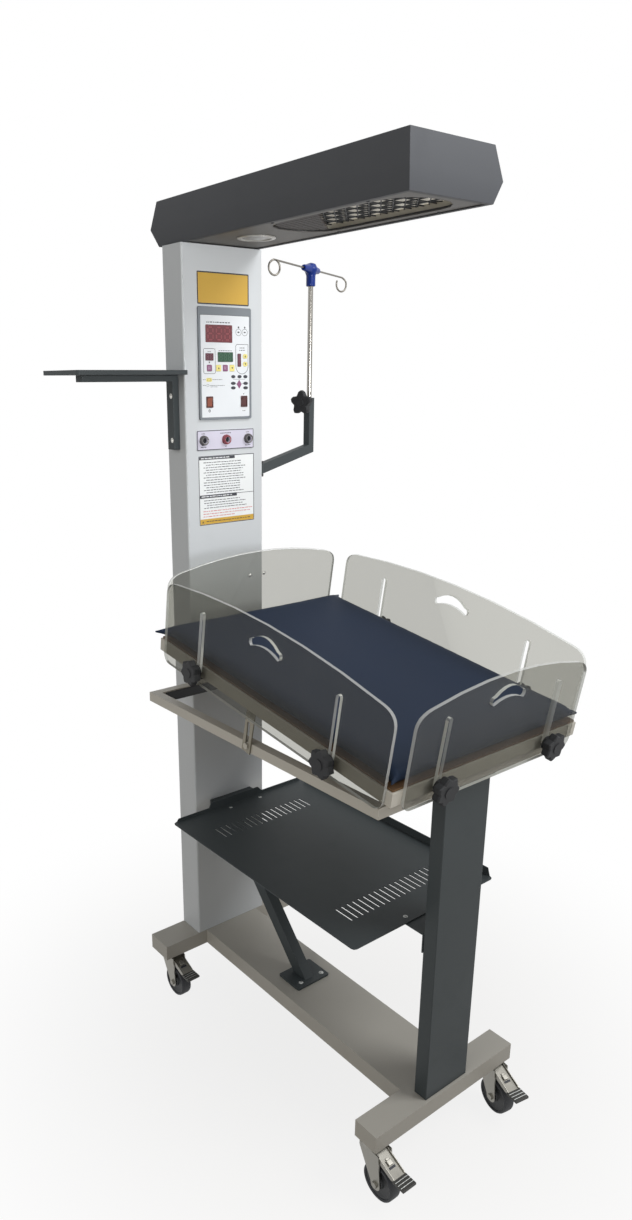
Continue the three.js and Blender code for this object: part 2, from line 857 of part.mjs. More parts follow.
// A key's outline, grown by a margin for its hole
const squareKey = (x) => (margin) => roundedRect(keyWidth + margin * 2, keyHeight + margin * 2, keyCorner, x, keyLevel);
const roundKey = (level) => (margin) => roundedRect(
  powerKeyWidth + margin * 2,
  powerKeyHeight + margin * 2,
  powerKeyCorner + margin,
  powerKeyOffset,
  level,
);
const keys = {
  key_skin_set: [squareKey(leftKeyOffset), plastic.plum],
  key_air_up: [squareKey(middleKeyOffset - middleKeySpacing), plastic.yellow],
  key_air_set: [squareKey(middleKeyOffset), plastic.plum],
  key_air_down: [squareKey(middleKeyOffset + middleKeySpacing), plastic.yellow],
  key_power_up: [roundKey(powerKeyLevel + powerKeySpacing / 2), plastic.yellow],
  key_power_down: [roundKey(powerKeyLevel - powerKeySpacing / 2), plastic.yellow],
};

function membrane() {
  const height = membraneTop - membraneBottom - seat * 2;
  const middle = (membraneTop + membraneBottom) / 2;
  const shape = roundedRect((membraneHalfWidth - seat) * 2, height, panelCorner / 2, 0, middle);
  for (const x of rockerPlaces) {
    shape.holes.push(roundedRect(rockerWidth + rockerFrame * 2, rockerHeight + rockerFrame * 2, rockerFrame, x, rockerLevel));
  }
  for (const [keyOutline] of Object.values(keys)) {
    shape.holes.push(keyOutline(runningGap));
  }
  const sheet = alongY(shape, membraneFront, membraneFront + membraneThickness, 2);
  const screens = [
    [mainDisplayOffset, mainDisplayRise, mainDisplayWidth, mainDisplayHeight],
    [leftKeyOffset, sideDisplayRise, sideDisplayWidth, sideDisplayHeight],
    [middleKeyOffset, sideDisplayRise, middleDisplayWidth, middleDisplayHeight],
    [powerDisplayOffset, powerKeyRise, powerDisplayWidth, powerDisplayHeight],
  ].map(([x, rise, width, tall]) => alongY(
    roundedRect(width, tall, keyCorner, x, panelBottom + rise),
    membraneFront - displayProud,
    membraneFront + displayProud,
    2,
  ));
  return join(sheet, ...screens);
}
place(warmer, 'control_membrane', membrane(), plastic.membrane);

// A key stands proud of the membrane and has its travel free behind it
function key(keyOutline) {
  const front = membraneFront - keyProud;
  return alongY(keyOutline(0), front, front + keyThickness, 3);
}
for (const [name, [keyOutline, material]] of Object.entries(keys)) {
  place(warmer, name, key(keyOutline), material);
}

// A rocker is a shallow V in side view and turns on trunnions at its middle
function rocker(x) {
  const half = rockerHeight / 2 - runningGap;
  const front = panelFront - seat;
  const lean = Math.tan(THREE.MathUtils.degToRad(rockerThrow));
  const shape = outline([
    [front - half * lean, half],
    [front, 0],
    [front, -half],
    [front + rockerDepth, -half * 0.4],
    [front + rockerDepth, half * 0.4],
  ]);
  const width = rockerWidth / 2 - runningGap;
  const reach = rockerWidth / 2 + rockerFrame - seat;
  const body = alongX(shape, x - width, x + width);
  const trunnion = rod(rockerPinRadius, 'x', x - reach, x + reach, 10).translate(0, rockerPinY, 0);
  return join(body, trunnion).translate(0, 0, rockerLevel);
}
place(warmer, 'rocker_heater', rocker(rockerPlaces[0]), plastic.redRocker);
place(warmer, 'rocker_lamp', rocker(rockerPlaces[1]), plastic.darkRocker);

// Connector plate with three probe sockets
function connectorPlate() {
  const middle = connectorPlateRise + connectorPlateHeight / 2;
  const width = connectorPlateHalfWidth * 2;
  const back = -seat;
  const front = back - connectorPlateThickness;
  const plate = alongY(roundedRect(width, connectorPlateHeight, connectorPlateCorner, 0, middle), front, back, 3);
  const places = [-connectorSpacing, 0, connectorSpacing];
  const rings = places.map((x) => rod(connectorRadius, 'y', front - connectorLength, back).translate(x, 0, middle));
  const bores = places.map((x) => rod(
    connectorBore,
    'y',
    front - connectorLength - overrun,
    front + connectorPlateThickness / 4,
    12,
  ).translate(x, 0, middle));
  return cut(join(plate, ...rings), ...bores);
}
place(warmer, 'connector_plate', connectorPlate(), plastic.socket);

// Front post, closed at its head, with a head plate under the bed frame
function frontPost() {
  const top = bedFrameLevel - seat;
  const rear = -postFront + postDepth;
  const tube = join(
    slab(postHalfWidth, -postFront, rear, baseTop + seat, top),
    slab(postHalfWidth, -bedFrameFront, rear, top - postHeadThickness, top),
  );
  const inside = slab(
    postHalfWidth - postWall,
    -postFront + postWall,
    rear - postWall,
    baseTop + seat - overrun,
    top - postHeadThickness,
  );
  return cut(tube, inside);
}
place(warmer, 'front_post', frontPost(), paint.slate);

// Carrier: a folded sheet that holds the bed frame's rear rail off the column
function rearCarrier() {
  const railFront = -bedFrameRear - bedFrameTube;
  const front = railFront - seat - carrierSheet;
  const webTop = bedFrameLevel - seat;
  const webBottom = webTop - carrierSheet;
  const back = -seat;
  const gusset = outline([
    [back - carrierSheet / 2, webTop - carrierSheet / 2],
    [back - carrierSheet / 2, webTop + carrierBackHeight],
    [back - carrierGussetDepth, webTop - carrierSheet / 2],
  ]);
  const wings = [-1, 1].map((side) => {
    const x = side * (carrierBackHalfWidth - carrierSheet);
    return alongX(gusset, x - carrierSheet / 2, x + carrierSheet / 2);
  });
  return join(
    slab(carrierHalfWidth, front, front + carrierSheet, webBottom, webBottom + carrierFlangeHeight),
    slab(carrierHalfWidth, front, -bedFrameRear, webBottom, webTop),
    slab(carrierBackHalfWidth, -bedFrameRear - carrierSheet, back, webBottom, webTop),
    slab(carrierBackHalfWidth, back - carrierSheet, back, webBottom, webTop + carrierBackHeight),
    ...wings,
  );
}
place(warmer, 'rear_carrier', rearCarrier(), paint.black);

// The tray's own frame: origin at its lower front edge, y up the slope, z square to the bed
function trayPoint(along, rise) {
  return [
    trayFrontY + along * Math.cos(tilt) - rise * Math.sin(tilt),
    trayFrontLevel + along * Math.sin(tilt) + rise * Math.cos(tilt),
  ];
}
const [hingeY, hingeZ] = trayPoint(hingeFromFront, -hingeDrop);
const hingePlaces = [-hingeSpacing / 2, hingeSpacing / 2];
const [stayPinY, stayPinZ] = trayPoint(stayPinAlong, stayPinRise);
const stayBoltZ = bedFrameTop - stayBoltDrop;
const stayX = -trayHalfWidth + trayWall + seat;

// Lower bed frame of square tube, with hinge knuckles and the stay's bolt
function bedFrame() {
  const z0 = bedFrameLevel;
  const z1 = bedFrameTop;
  const ring = cut(
    slab(bedFrameHalfWidth, -bedFrameFront, -bedFrameRear, z0, z1),
    slab(
      bedFrameHalfWidth - bedFrameTube,
      -bedFrameFront + bedFrameTube,
      -bedFrameRear - bedFrameTube,
      z0 - overrun,
      z1 + overrun,
    ),
  );
  const knuckles = hingePlaces.flatMap((x) => {
    const half = knuckleLength / 2;
    return [
      rod(knuckleRadius, 'x', x - half, x + half, 12).translate(0, hingeY, hingeZ),
      block(x - half, x + half, hingeY - knuckleRadius, hingeY + knuckleRadius, z1 - overrun, hingeZ - knuckleRadius / 2),
      rod(hingePinRadius, 'x', x - half - knuckleLength * 0.8, x + half + knuckleLength * 0.8, 12)
        .translate(0, hingeY, hingeZ),
    ];
  });
  const headEnd = stayX - runningGap;
  const bolt = [
    rod(stayPinRadius, 'x', headEnd - stayBoltHeadThickness / 2, -bedFrameHalfWidth + overrun, 12),
    rod(stayBoltHead, 'x', headEnd - stayBoltHeadThickness, headEnd, 6),
  ].map((piece) => piece.translate(0, stayBoltY, stayBoltZ));
  return join(ring, ...knuckles, ...bolt);
}

place(warmer, 'bed_frame', bedFrame(), paint.bedframe);

// Everything on the tray is drawn in the tray's own frame
const tray = new THREE.Group();
tray.name = 'tray';
tray.position.set(0, trayFrontY, trayFrontLevel);
tray.rotation.x = tilt;
warmer.add(tray);

const sideSlots = [-sideSlotSpacing / 2, sideSlotSpacing / 2];
const endSlots = [-endSlotSpacing / 2, endSlotSpacing / 2];
const sideGuardMiddle = (sideGuardStart + sideGuardEnd) / 2;
const sideGuardHalfLength = (sideGuardEnd - sideGuardStart) / 2;
const guardInner = trayHalfWidth + runningGap;
const guardOuter = guardInner + guardThickness;

// Hinge lugs reach back from the tray's front rail on both sides of each knuckle
function hingeLugs() {
  const start = knuckleLength / 2 + seat;
  const end = start + knuckleLength * 0.8;
  return hingePlaces.flatMap((x) => [-1, 1].map((side) => {
    const x0 = Math.min(x + side * start, x + side * end);
    const x1 = Math.max(x + side * start, x + side * end);
    const web = outline([
      [trayRailWidth - trayWall / 2, 0],
      [hingeFromFront - knuckleRadius, -hingeDrop],
      [hingeFromFront + knuckleRadius, -hingeDrop],
      [trayRailWidth - trayWall / 2, trayRailHeight / 2],
    ]);
    const barrel = rod(knuckleRadius, 'x', x0, x1, 12).translate(0, hingeFromFront, -hingeDrop);
    return join(alongX(web, x0, x1), barrel);
  }));
}

function trayFrame() {
  const end = trayLength;
  const rail = trayRailWidth;
  const inside = rail - trayWall;
  const high = trayRailHeight;
  const low = -overrun;
  const ring = cut(
    slab(trayHalfWidth, 0, end, 0, high),
    slab(trayHalfWidth - rail, rail, end - rail, low, high + overrun),
  );
  const hollow = cut(
    slab(trayHalfWidth - trayWall, trayWall, end - trayWall, low, high - trayWall),
    slab(trayHalfWidth - inside, inside, end - inside, low - overrun, high + overrun),
  );
  const channel = cut(ring, hollow);
  const reach = guardOuter + studReach;
  const sideStuds = [-1, 1].flatMap((side) => sideSlots.map((offset) => {
    const x0 = side < 0 ? -reach : trayHalfWidth - trayWall;
    const x1 = side < 0 ? -trayHalfWidth + trayWall : reach;
    return rod(studRadius, 'x', x0, x1, studFacets).translate(0, sideGuardMiddle + offset, studRise);
  }));
  const endReach = runningGap + guardThickness + studReach;
  const endStuds = endSlots.map((x) => rod(studRadius, 'y', -endReach, trayWall, studFacets).translate(x, 0, studRise));
  const pin = rod(stayPinRadius, 'x', -trayHalfWidth + trayWall / 2, stayX + stayThickness + trayWall, 12)
    .translate(0, stayPinAlong, stayPinRise);
  const whole = join(channel, ...hingeLugs(), ...sideStuds, ...endStuds, pin);
  const span = trayHalfWidth;
  const pinBore = rod(hingePinRadius + seat, 'x', -span, span, 12).translate(0, hingeFromFront, -hingeDrop);
  const screwBores = endSlots.map((x) => rod(guardScrewRadius + seat, 'y', end - trayWall - overrun, end + overrun, 12)
    .translate(x, 0, studRise));
  return cut(whole, pinBore, ...screwBores);
}
place(tray, 'tray_frame', trayFrame(), paint.bedframe);

const boardBottom = trayRailHeight + seat;
const boardTop = boardBottom + boardThickness;

function trayBoard() {
  const half = trayHalfWidth - boardInset;
  return slab(half, boardInset, trayLength - boardInset, boardBottom, boardTop);
}
place(tray, 'tray_board', trayBoard(), plywood);

// Mattress: two crowned faces that meet in a welded edge, with an ear at each corner
function edgeRise(distance) {
  const steps = [[0, 0], [3, 0.3], [4.5, 0.62], [8, 0.88], [15, 1]];
  for (let i = 1; i < steps.length; i += 1) {
    const [d0, h0] = steps[i - 1];
    const [d1, h1] = steps[i];
    if (distance <= d1) return h0 + ((h1 - h0) * (distance - d0)) / (d1 - d0);
  }
  return 1;
}

function mattress() {
  const halfLength = mattressLength / 2;
  const middle = trayLength / 2;
  const level = boardTop + seat + mattressThickness / 2;
  const edges = [0, 3, 4.5, 8, 15, 45];
  const across = [...edges.map((d) => d - mattressHalfWidth), -mattressHalfWidth / 2, 0];
  const along = [...edges.map((d) => d - halfLength), -halfLength * 0.62, -halfLength * 0.3, 0];
  const xs = [...across, ...across.slice(0, -1).reverse().map((v) => -v)];
  const ys = [...along, ...along.slice(0, -1).reverse().map((v) => -v)];
  const positions = [];
  const index = [];
  const wide = xs.length;
  for (const face of [1, -1]) {
    for (const y of ys) {
      for (const x of xs) {
        const dx = mattressHalfWidth - Math.abs(x);
        const dy = halfLength - Math.abs(y);
        const crown = mattressCrown * (1 - (x / mattressHalfWidth) ** 2) * (1 - (y / halfLength) ** 2);
        const rise = (mattressThickness / 2) * edgeRise(dx) * edgeRise(dy);
        const near = Math.max(0, 1 - Math.hypot(dx, dy) / mattressEarReach) ** 2;
        const ear = mattressEar * near;
        const lift = face > 0 ? rise + crown * edgeRise(dx) * edgeRise(dy) : -rise;
        positions.push(x + Math.sign(x) * ear, y + Math.sign(y) * ear + middle, level + lift);
      }
    }
  }
  const sheet = wide * ys.length;
  for (const face of [0, 1]) {
    for (let j = 0; j < ys.length - 1; j += 1) {
      for (let i = 0; i < wide - 1; i += 1) {
        const a = face * sheet + j * wide + i;
        const b = a + 1;
        const c = a + wide + 1;
        const d = a + wide;
        if (face === 0) index.push(a, b, c, a, c, d);
        else index.push(a, c, b, a, d, c);
      }
    }
  }
  const geometry = new THREE.BufferGeometry();
  geometry.setAttribute('position', new THREE.Float32BufferAttribute(positions, 3));
  geometry.setIndex(index);
  const merged = mergeVertices(geometry, weld);
  merged.computeVertexNormals();
  return merged;
}
place(tray, 'mattress', mattress(), vinyl);

// Guard outline across s and up w: rounded feet, softer shoulders and an arched top
function guardOutline(halfLength) {
  const foot = guardFootCorner;
  const corner = guardCorner;
  const inner = halfLength - corner;
  const control = guardCrest * 2 - guardShoulder;
  const slope = (control - guardShoulder) / inner;
  const bend = guardShoulder - corner * slope;
  const bottom = -guardDrop;
  const shape = new THREE.Shape();
  shape.moveTo(-halfLength + foot, bottom);
  shape.lineTo(halfLength - foot, bottom);
  shape.absarc(halfLength - foot, bottom + foot, foot, -Math.PI / 2, 0, false);
  shape.lineTo(halfLength, guardShoulder - corner);
  shape.quadraticCurveTo(halfLength, bend, inner, guardShoulder);
  shape.quadraticCurveTo(0, control, -inner, guardShoulder);
  shape.quadraticCurveTo(-halfLength, bend, -halfLength, guardShoulder - corner);
  shape.lineTo(-halfLength, bottom + foot);
  shape.absarc(-halfLength + foot, bottom + foot, foot, Math.PI, Math.PI * 1.5, false);
  return shape;
}

function gripShape() {
  const half = gripWidth / 2;
  const tip = gripHeight / 4;
  const bottom = gripRise - gripBow;
  const top = gripRise + gripHeight - gripBow - tip;
  const shape = new THREE.Path();
  shape.moveTo(-half + tip, bottom);
  shape.quadraticCurveTo(0, gripRise + gripBow, half - tip, bottom);
  shape.quadraticCurveTo(half, bottom + tip / 2, half, bottom + tip * 1.4);
  shape.quadraticCurveTo(half, top, half - tip * 1.6, top);
  shape.quadraticCurveTo(0, gripRise + gripHeight + gripBow + tip, -half + tip * 1.6, top);
  shape.quadraticCurveTo(-half, top, -half, bottom + tip * 1.4);
  shape.quadraticCurveTo(-half, bottom + tip / 2, -half + tip, bottom);
  return shape;
}

function slottedGuard(halfLength, slots) {
  const shape = guardOutline(halfLength);
  for (const s of slots) {
    shape.holes.push(slotShape(guardSlotWidth, s, studRise, s, studRise + guardSlotTravel));
  }
  shape.holes.push(gripShape());
  return shape;
}

function sideGuard(side) {
  const x0 = side < 0 ? -guardOuter : guardInner;
  const shape = slottedGuard(sideGuardHalfLength, sideSlots);
  return alongX(shape, x0, x0 + guardThickness, 6).translate(0, sideGuardMiddle, 0);
}
place(tray, 'guard_left', sideGuard(-1), plastic.clear);
place(tray, 'guard_right', sideGuard(1), plastic.clear);

function frontGuard() {
  const back = -runningGap;
  return alongY(slottedGuard(endGuardHalfWidth, endSlots), back - guardThickness, back, 6);
}
place(tray, 'guard_front', frontGuard(), plastic.clear);

// The head guard is screwed on; its screws pass through the rail's rear wall
function headGuard() {
  const front = trayLength + runningGap;
  const back = front + guardThickness;
  const plate = alongY(guardOutline(headGuardHalfWidth), front, back, 8);
  const screws = endSlots.flatMap((x) => [
    rod(guardScrewRadius, 'y', trayLength - trayWall, back, 12).translate(x, 0, studRise),
    rod(guardScrewHead, 'y', back - overrun, back + guardScrewHeadThickness, 12).translate(x, 0, studRise),
  ]);
  return join(plate, ...screws);
}
place(tray, 'guard_head', headGuard(), plastic.clear);

// A star knob stands on its hub's face at zero and points up
function starKnob({ lobes, facets, radius: crest, waist, neck }, tail) {
  const steps = lobes * facets;
  const mean = (crest + waist) / 2 - knobBevel;
  const swing = (crest - waist) / 2;
  const points = [];
  for (let i = 0; i < steps; i += 1) {
    const angle = (i / steps) * Math.PI * 2;
    const radius = mean + swing * Math.cos(angle * lobes);
    points.push([radius * Math.cos(angle), radius * Math.sin(angle)]);
  }
  const star = new THREE.ExtrudeGeometry(outline(points), {
    depth: knobThickness - knobBevel * 2,
    bevelThickness: knobBevel,
    bevelSize: knobBevel,
    bevelSegments: 1,
  }).translate(0, 0, neck + knobBevel);
  const hub = rod(knobHubRadius, 'z', 0, neck + knobBevel, 12);
  const top = neck + knobThickness;
  const cap = rod(knobCapRadius, 'z', top - knobBevel, top + knobCapRise, 12);
  return tail ? join(star, hub, cap, tail) : join(star, hub, cap);
}

function guardKnob() {
  const bore = rod(studRadius + studGap, 'z', -overrun, studReach, studFacets);
  const sizes = { lobes: knobLobes, facets: knobFacets, radius: knobRadius, waist: knobWaist, neck: knobHubLength };
  return cut(starKnob(sizes), bore);
}

function placeKnob(group, name, geometry, x, y, z, turnX, turnY) {
  const mesh = place(group, name, geometry, plastic.knob);
  mesh.position.set(x, y, z);
  mesh.rotation.set(turnX, turnY, 0);
}

const knobGeometry = guardKnob();
const knobFace = guardOuter + seat;
sideSlots.forEach((offset, i) => {
  const end = i === 0 ? 'foot' : 'head';
  const along = sideGuardMiddle + offset;
  placeKnob(tray, `knob_left_${end}`, knobGeometry, -knobFace, along, studRise, 0, -Math.PI / 2);
  placeKnob(tray, `knob_right_${end}`, knobGeometry, knobFace, along, studRise, 0, Math.PI / 2);
});
endSlots.forEach((x, i) => {
  const side = i === 0 ? 'left' : 'right';
  const y = -runningGap - guardThickness - seat;
  placeKnob(tray, `knob_front_${side}`, knobGeometry, x, y, studRise, Math.PI / 2, 0);
});

// Where the bolt lies in the stay, from the raised bed to the level one
function boltPath(lean) {
  const points = [];
  for (let i = 0; i <= staySlotSteps; i += 1) {
    const drop = (-tilt * i) / staySlotSteps;
    const pin = [stayPinY - hingeY, stayPinZ - hingeZ];
    const pinY = hingeY + pin[0] * Math.cos(drop) - pin[1] * Math.sin(drop);
    const pinZ = hingeZ + pin[0] * Math.sin(drop) + pin[1] * Math.cos(drop);
    const turn = -(drop + drop * staySwingRatio + lean);
    const y = stayBoltY - pinY;
    const z = stayBoltZ - pinZ;
    points.push([y * Math.cos(turn) - z * Math.sin(turn), y * Math.sin(turn) + z * Math.cos(turn)]);
  }
  return points;
}

// A slot that keeps one width along a path and is round at both ends
function pathSlot(points, radius) {
  const headings = points.map((p, i) => {
    const before = points[Math.max(i - 1, 0)];
    const after = points[Math.min(i + 1, points.length - 1)];
    return Math.atan2(after[1] - before[1], after[0] - before[0]);
  });
  const side = (sign) => points.map(([y, z], i) => {
    const square = headings[i] + (sign * Math.PI) / 2;
    return [y + radius * Math.cos(square), z + radius * Math.sin(square)];
  });
  const [start, end] = [points[0], points[points.length - 1]];
  const [first, last] = [headings[0], headings[headings.length - 1]];
  const shape = new THREE.Path();
  side(-1).forEach(([y, z], i) => (i === 0 ? shape.moveTo(y, z) : shape.lineTo(y, z)));
  shape.absarc(end[0], end[1], radius, last - Math.PI / 2, last + Math.PI / 2, false);
  side(1).reverse().forEach(([y, z]) => shape.lineTo(y, z));
  shape.absarc(start[0], start[1], radius, first + Math.PI / 2, first + Math.PI * 1.5, false);
  return shape;
}

// The stay hangs from the tray's pin and slides over the bolt on the bed frame
function tiltStay() {
  const rise = stayPinZ - stayBoltZ;
  const run = stayBoltY - stayPinY;
  const length = Math.hypot(rise, run);
  const half = stayWidth / 2;
  const shape = new THREE.Shape();
  shape.moveTo(-half, -length - stayTail);
  shape.lineTo(half, -length - stayTail);
  shape.lineTo(half, 0);
  shape.absarc(0, 0, half, 0, Math.PI, false);
  shape.holes.push(new THREE.Path().absarc(0, 0, stayPinRadius + runningGap, 0, Math.PI * 2, false));
  shape.holes.push(pathSlot(boltPath(Math.atan2(run, rise)), stayPinRadius + boltGap));
  const bar = alongX(shape, stayX, stayX + stayThickness, 8);
  return bar.rotateX(Math.atan2(run, rise)).translate(0, stayPinY, stayPinZ);
}
place(warmer, 'tilt_stay', tiltStay(), metal.zinc);

// Drip pole: drawn along the arm's own direction, then swung about its pin
const arm = new THREE.Group();
arm.name = 'drip_arm';
arm.position.set(columnHalfWidth + armPivotOut, rearBarMiddle, 0);
arm.rotation.z = THREE.MathUtils.degToRad(armSwing);
warmer.add(arm);
const armPlateFace = columnHalfWidth + seat;
const armHalfHeight = armTubeHeight / 2;

function armBracket() {
  const y = rearBarMiddle;
  const x = columnHalfWidth + armPivotOut;
  const plateEnd = armPlateFace + armPlateThickness;
  const ear = new THREE.Shape();
  ear.moveTo(armPlateFace, y - armEyeRadius);
  ear.lineTo(x, y - armEyeRadius);
  ear.absarc(x, y, armEyeRadius, -Math.PI / 2, Math.PI / 2, false);
  ear.lineTo(armPlateFace, y + armEyeRadius);
  const inner = armHalfHeight + boltGap * 2;
  const outer = inner + armEarThickness;
  return join(
    block(
      armPlateFace,
      plateEnd,
      y - armPlateWidth / 2,
      y + armPlateWidth / 2,
      armLevel - armPlateHeight / 2,
      armLevel + armPlateHeight / 2,
    ),
    alongZ(ear, armLevel + inner, armLevel + outer, 8),
    alongZ(ear, armLevel - outer, armLevel - inner, 8),
    rod(armPinRadius, 'z', armLevel - outer, armLevel + outer, 12).translate(x, y, 0),
  );
}
place(warmer, 'drip_bracket', armBracket(), paint.black);

function dripArm() {
  const slope = Math.tan(THREE.MathUtils.degToRad(armClimb));
  const half = armTubeWidth / 2;
  const near = armReach - armTubeHeight / 2;
  const far = armReach + armTubeHeight / 2;
  const shape = outline([
    [armEyeRadius / 2, armLevel - armHalfHeight],
    [far, armLevel - armHalfHeight + far * slope],
    [far, armPostTop],
    [near, armPostTop],
    [near, armLevel + armHalfHeight + near * slope],
    [armEyeRadius / 2, armLevel + armHalfHeight],
  ]);
  const eye = rod(armEyeRadius, 'z', armLevel - armHalfHeight, armLevel + armHalfHeight, 16);
  const eyeBore = rod(armPinRadius + runningGap, 'z', armLevel - armTubeHeight, armLevel + armTubeHeight * 2, 12);
  const poleBore = rod(poleRadius + runningGap, 'z', poleBottom - poleRadius, armPostTop + overrun, 16);
  const screwBore = rod(studRadius + runningGap, 'x', near - overrun, armReach, 12);
  return cut(
    join(alongY(shape, -half, half), eye),
    eyeBore,
    poleBore.translate(armReach, 0, 0),
    screwBore.translate(0, 0, poleKnobLevel),
  );
}
place(arm, 'drip_arm_tube', dripArm(), paint.slate);
place(arm, 'drip_pole', rod(poleRadius, 'z', poleBottom, poleTop, 20).translate(armReach, 0, 0), metal.chrome);

function poleKnob() {
  const tip = armTubeHeight / 2 - poleRadius - seat * 2;
  const screw = rod(studRadius, 'z', -tip, poleKnobNeck, 12);
  const sizes = { lobes: poleKnobLobes, radius: poleKnobRadius, waist: poleKnobWaist, neck: poleKnobNeck };
  return starKnob({ ...sizes, facets: poleKnobFacets }, screw);
}
const poleKnobX = armReach - armTubeHeight / 2 - seat;
placeKnob(arm, 'drip_knob', poleKnob(), poleKnobX, 0, poleKnobLevel, 0, -Math.PI / 2);

// Tee cap on the pole, bored for the pole and for the hook wire
const teeHeading = THREE.MathUtils.degToRad(teeTurn);

function teeCap() {
  const taper = (from, to) => new THREE.CylinderGeometry(to, from, teeHalfLength, 16)
    .rotateZ(-Math.PI / 2).translate(teeHalfLength / 2, 0, 0);
  const right = taper(teeRadius, teeEndRadius);
  const left = taper(teeRadius, teeEndRadius).rotateZ(Math.PI);
  const profile = [
    [0, teeNeckBottom - teeLevel],
    [teeNeckRadius, teeNeckBottom - teeLevel],
    [teeNeckRadius, -teeRadius * 1.2],
    [teeNeckRadius * 1.5, 0],
    [teeNeckRadius, teeRadius],
    [0, teeRadius + teeEndRadius / 2],
  ].map(([x, y]) => new THREE.Vector2(x, y));
  const neck = new THREE.LatheGeometry(profile, 16).rotateX(Math.PI / 2);
  const wireBore = rod(hookWireRadius + seat, 'x', -teeHalfLength - overrun, teeHalfLength + overrun, 12);
  const poleBore = rod(poleRadius + runningGap, 'z', teeNeckBottom - teeLevel - overrun, poleTop - teeLevel + seat, 16);
  const cap = cut(join(right, left, neck), wireBore, poleBore);
  return cap.rotateZ(teeHeading).translate(armReach, 0, teeLevel);
}
place(arm, 'drip_cap', teeCap(), plastic.blue);

// A round wire swept along points, its frame carried along without twist
function sweep(points, radius, sides) {
  const path = points.map((p) => new THREE.Vector3(...p));
  const tangents = path.map((p, i) => {
    const before = path[Math.max(i - 1, 0)];
    const after = path[Math.min(i + 1, path.length - 1)];
    return after.clone().sub(before).normalize();
  });
  let side = new THREE.Vector3(0, 1, 0);
  const rings = path.map((p, i) => {
    side = side.clone().sub(tangents[i].clone().multiplyScalar(side.dot(tangents[i]))).normalize();
    const up = tangents[i].clone().cross(side);
    return Array.from({ length: sides }, (_, k) => {
      const angle = (k / sides) * Math.PI * 2;
      const out = side.clone().multiplyScalar(Math.cos(angle) * radius);
      out.addScaledVector(up, Math.sin(angle) * radius);
      return p.clone().add(out).toArray();
    });
  });
  return loft(rings);
}

// Each hook runs out level, then curls down and back in a plane turned off the arm
function hookPoints() {
  const twist = THREE.MathUtils.degToRad(-hookTwist);
  const points = [[hookReach * 0.5, 0, 0]];
  for (let i = 0; i <= hookSteps; i += 1) {
    const angle = THREE.MathUtils.degToRad((hookTurn * i) / hookSteps);
    const out = hookLoopRadius * Math.sin(angle);
    const drop = hookLoopRadius * (Math.cos(angle) - 1);
    const ease = Math.min(1, angle);
    points.push([hookReach + out * Math.cos(twist * ease), out * Math.sin(twist * ease), drop]);
  }
  return points;
}

function hooks() {
  const right = hookPoints();
  const left = right.map(([x, y, z]) => [-x, -y, z]).reverse();
  const wire = sweep([...left, [0, 0, 0], ...right], hookWireRadius, 8);
  return wire.rotateZ(teeHeading).translate(armReach, 0, teeLevel);
}
place(arm, 'drip_hooks', hooks(), metal.chrome);

// Monitor bracket and shelf on the column's left side
const monitorX = -columnHalfWidth - seat;

function monitorBracket() {
  const y0 = rearBarMiddle - monitorBarWidth / 2;
  const y1 = rearBarMiddle + monitorBarWidth / 2;
  const top = monitorBarTop;
  return join(
    block(monitorX - monitorBarThickness, monitorX, y0, y1, monitorLegBottom, top),
    block(monitorX - monitorArmLength, monitorX, y0, y1, top - monitorArmHeight, top),
  );
}
place(warmer, 'monitor_bracket', monitorBracket(), paint.slate);

function monitorShelf() {
  const right = monitorX - monitorPlateStart;
  const left = right - monitorPlateLength;
  const middleX = (left + right) / 2;
  const middleY = -monitorPlateFront + monitorPlateDepth / 2;
  const bottom = monitorBarTop + seat;
  const outer = roundedRect(monitorPlateLength, monitorPlateDepth, monitorPlateCorner, middleX, middleY);
  const inner = roundedRect(
    monitorPlateLength - monitorPlateSheet * 2,
    monitorPlateDepth - monitorPlateSheet * 2,
    monitorPlateCorner - monitorPlateSheet,
    middleX,
    middleY,
  );
  const pan = alongZ(outer, bottom, bottom + monitorPlateLip, 3);
  return cut(pan, alongZ(inner, bottom + monitorPlateSheet, bottom + monitorPlateLip + overrun, 3));
}
place(warmer, 'monitor_shelf', monitorShelf(), paint.slate);

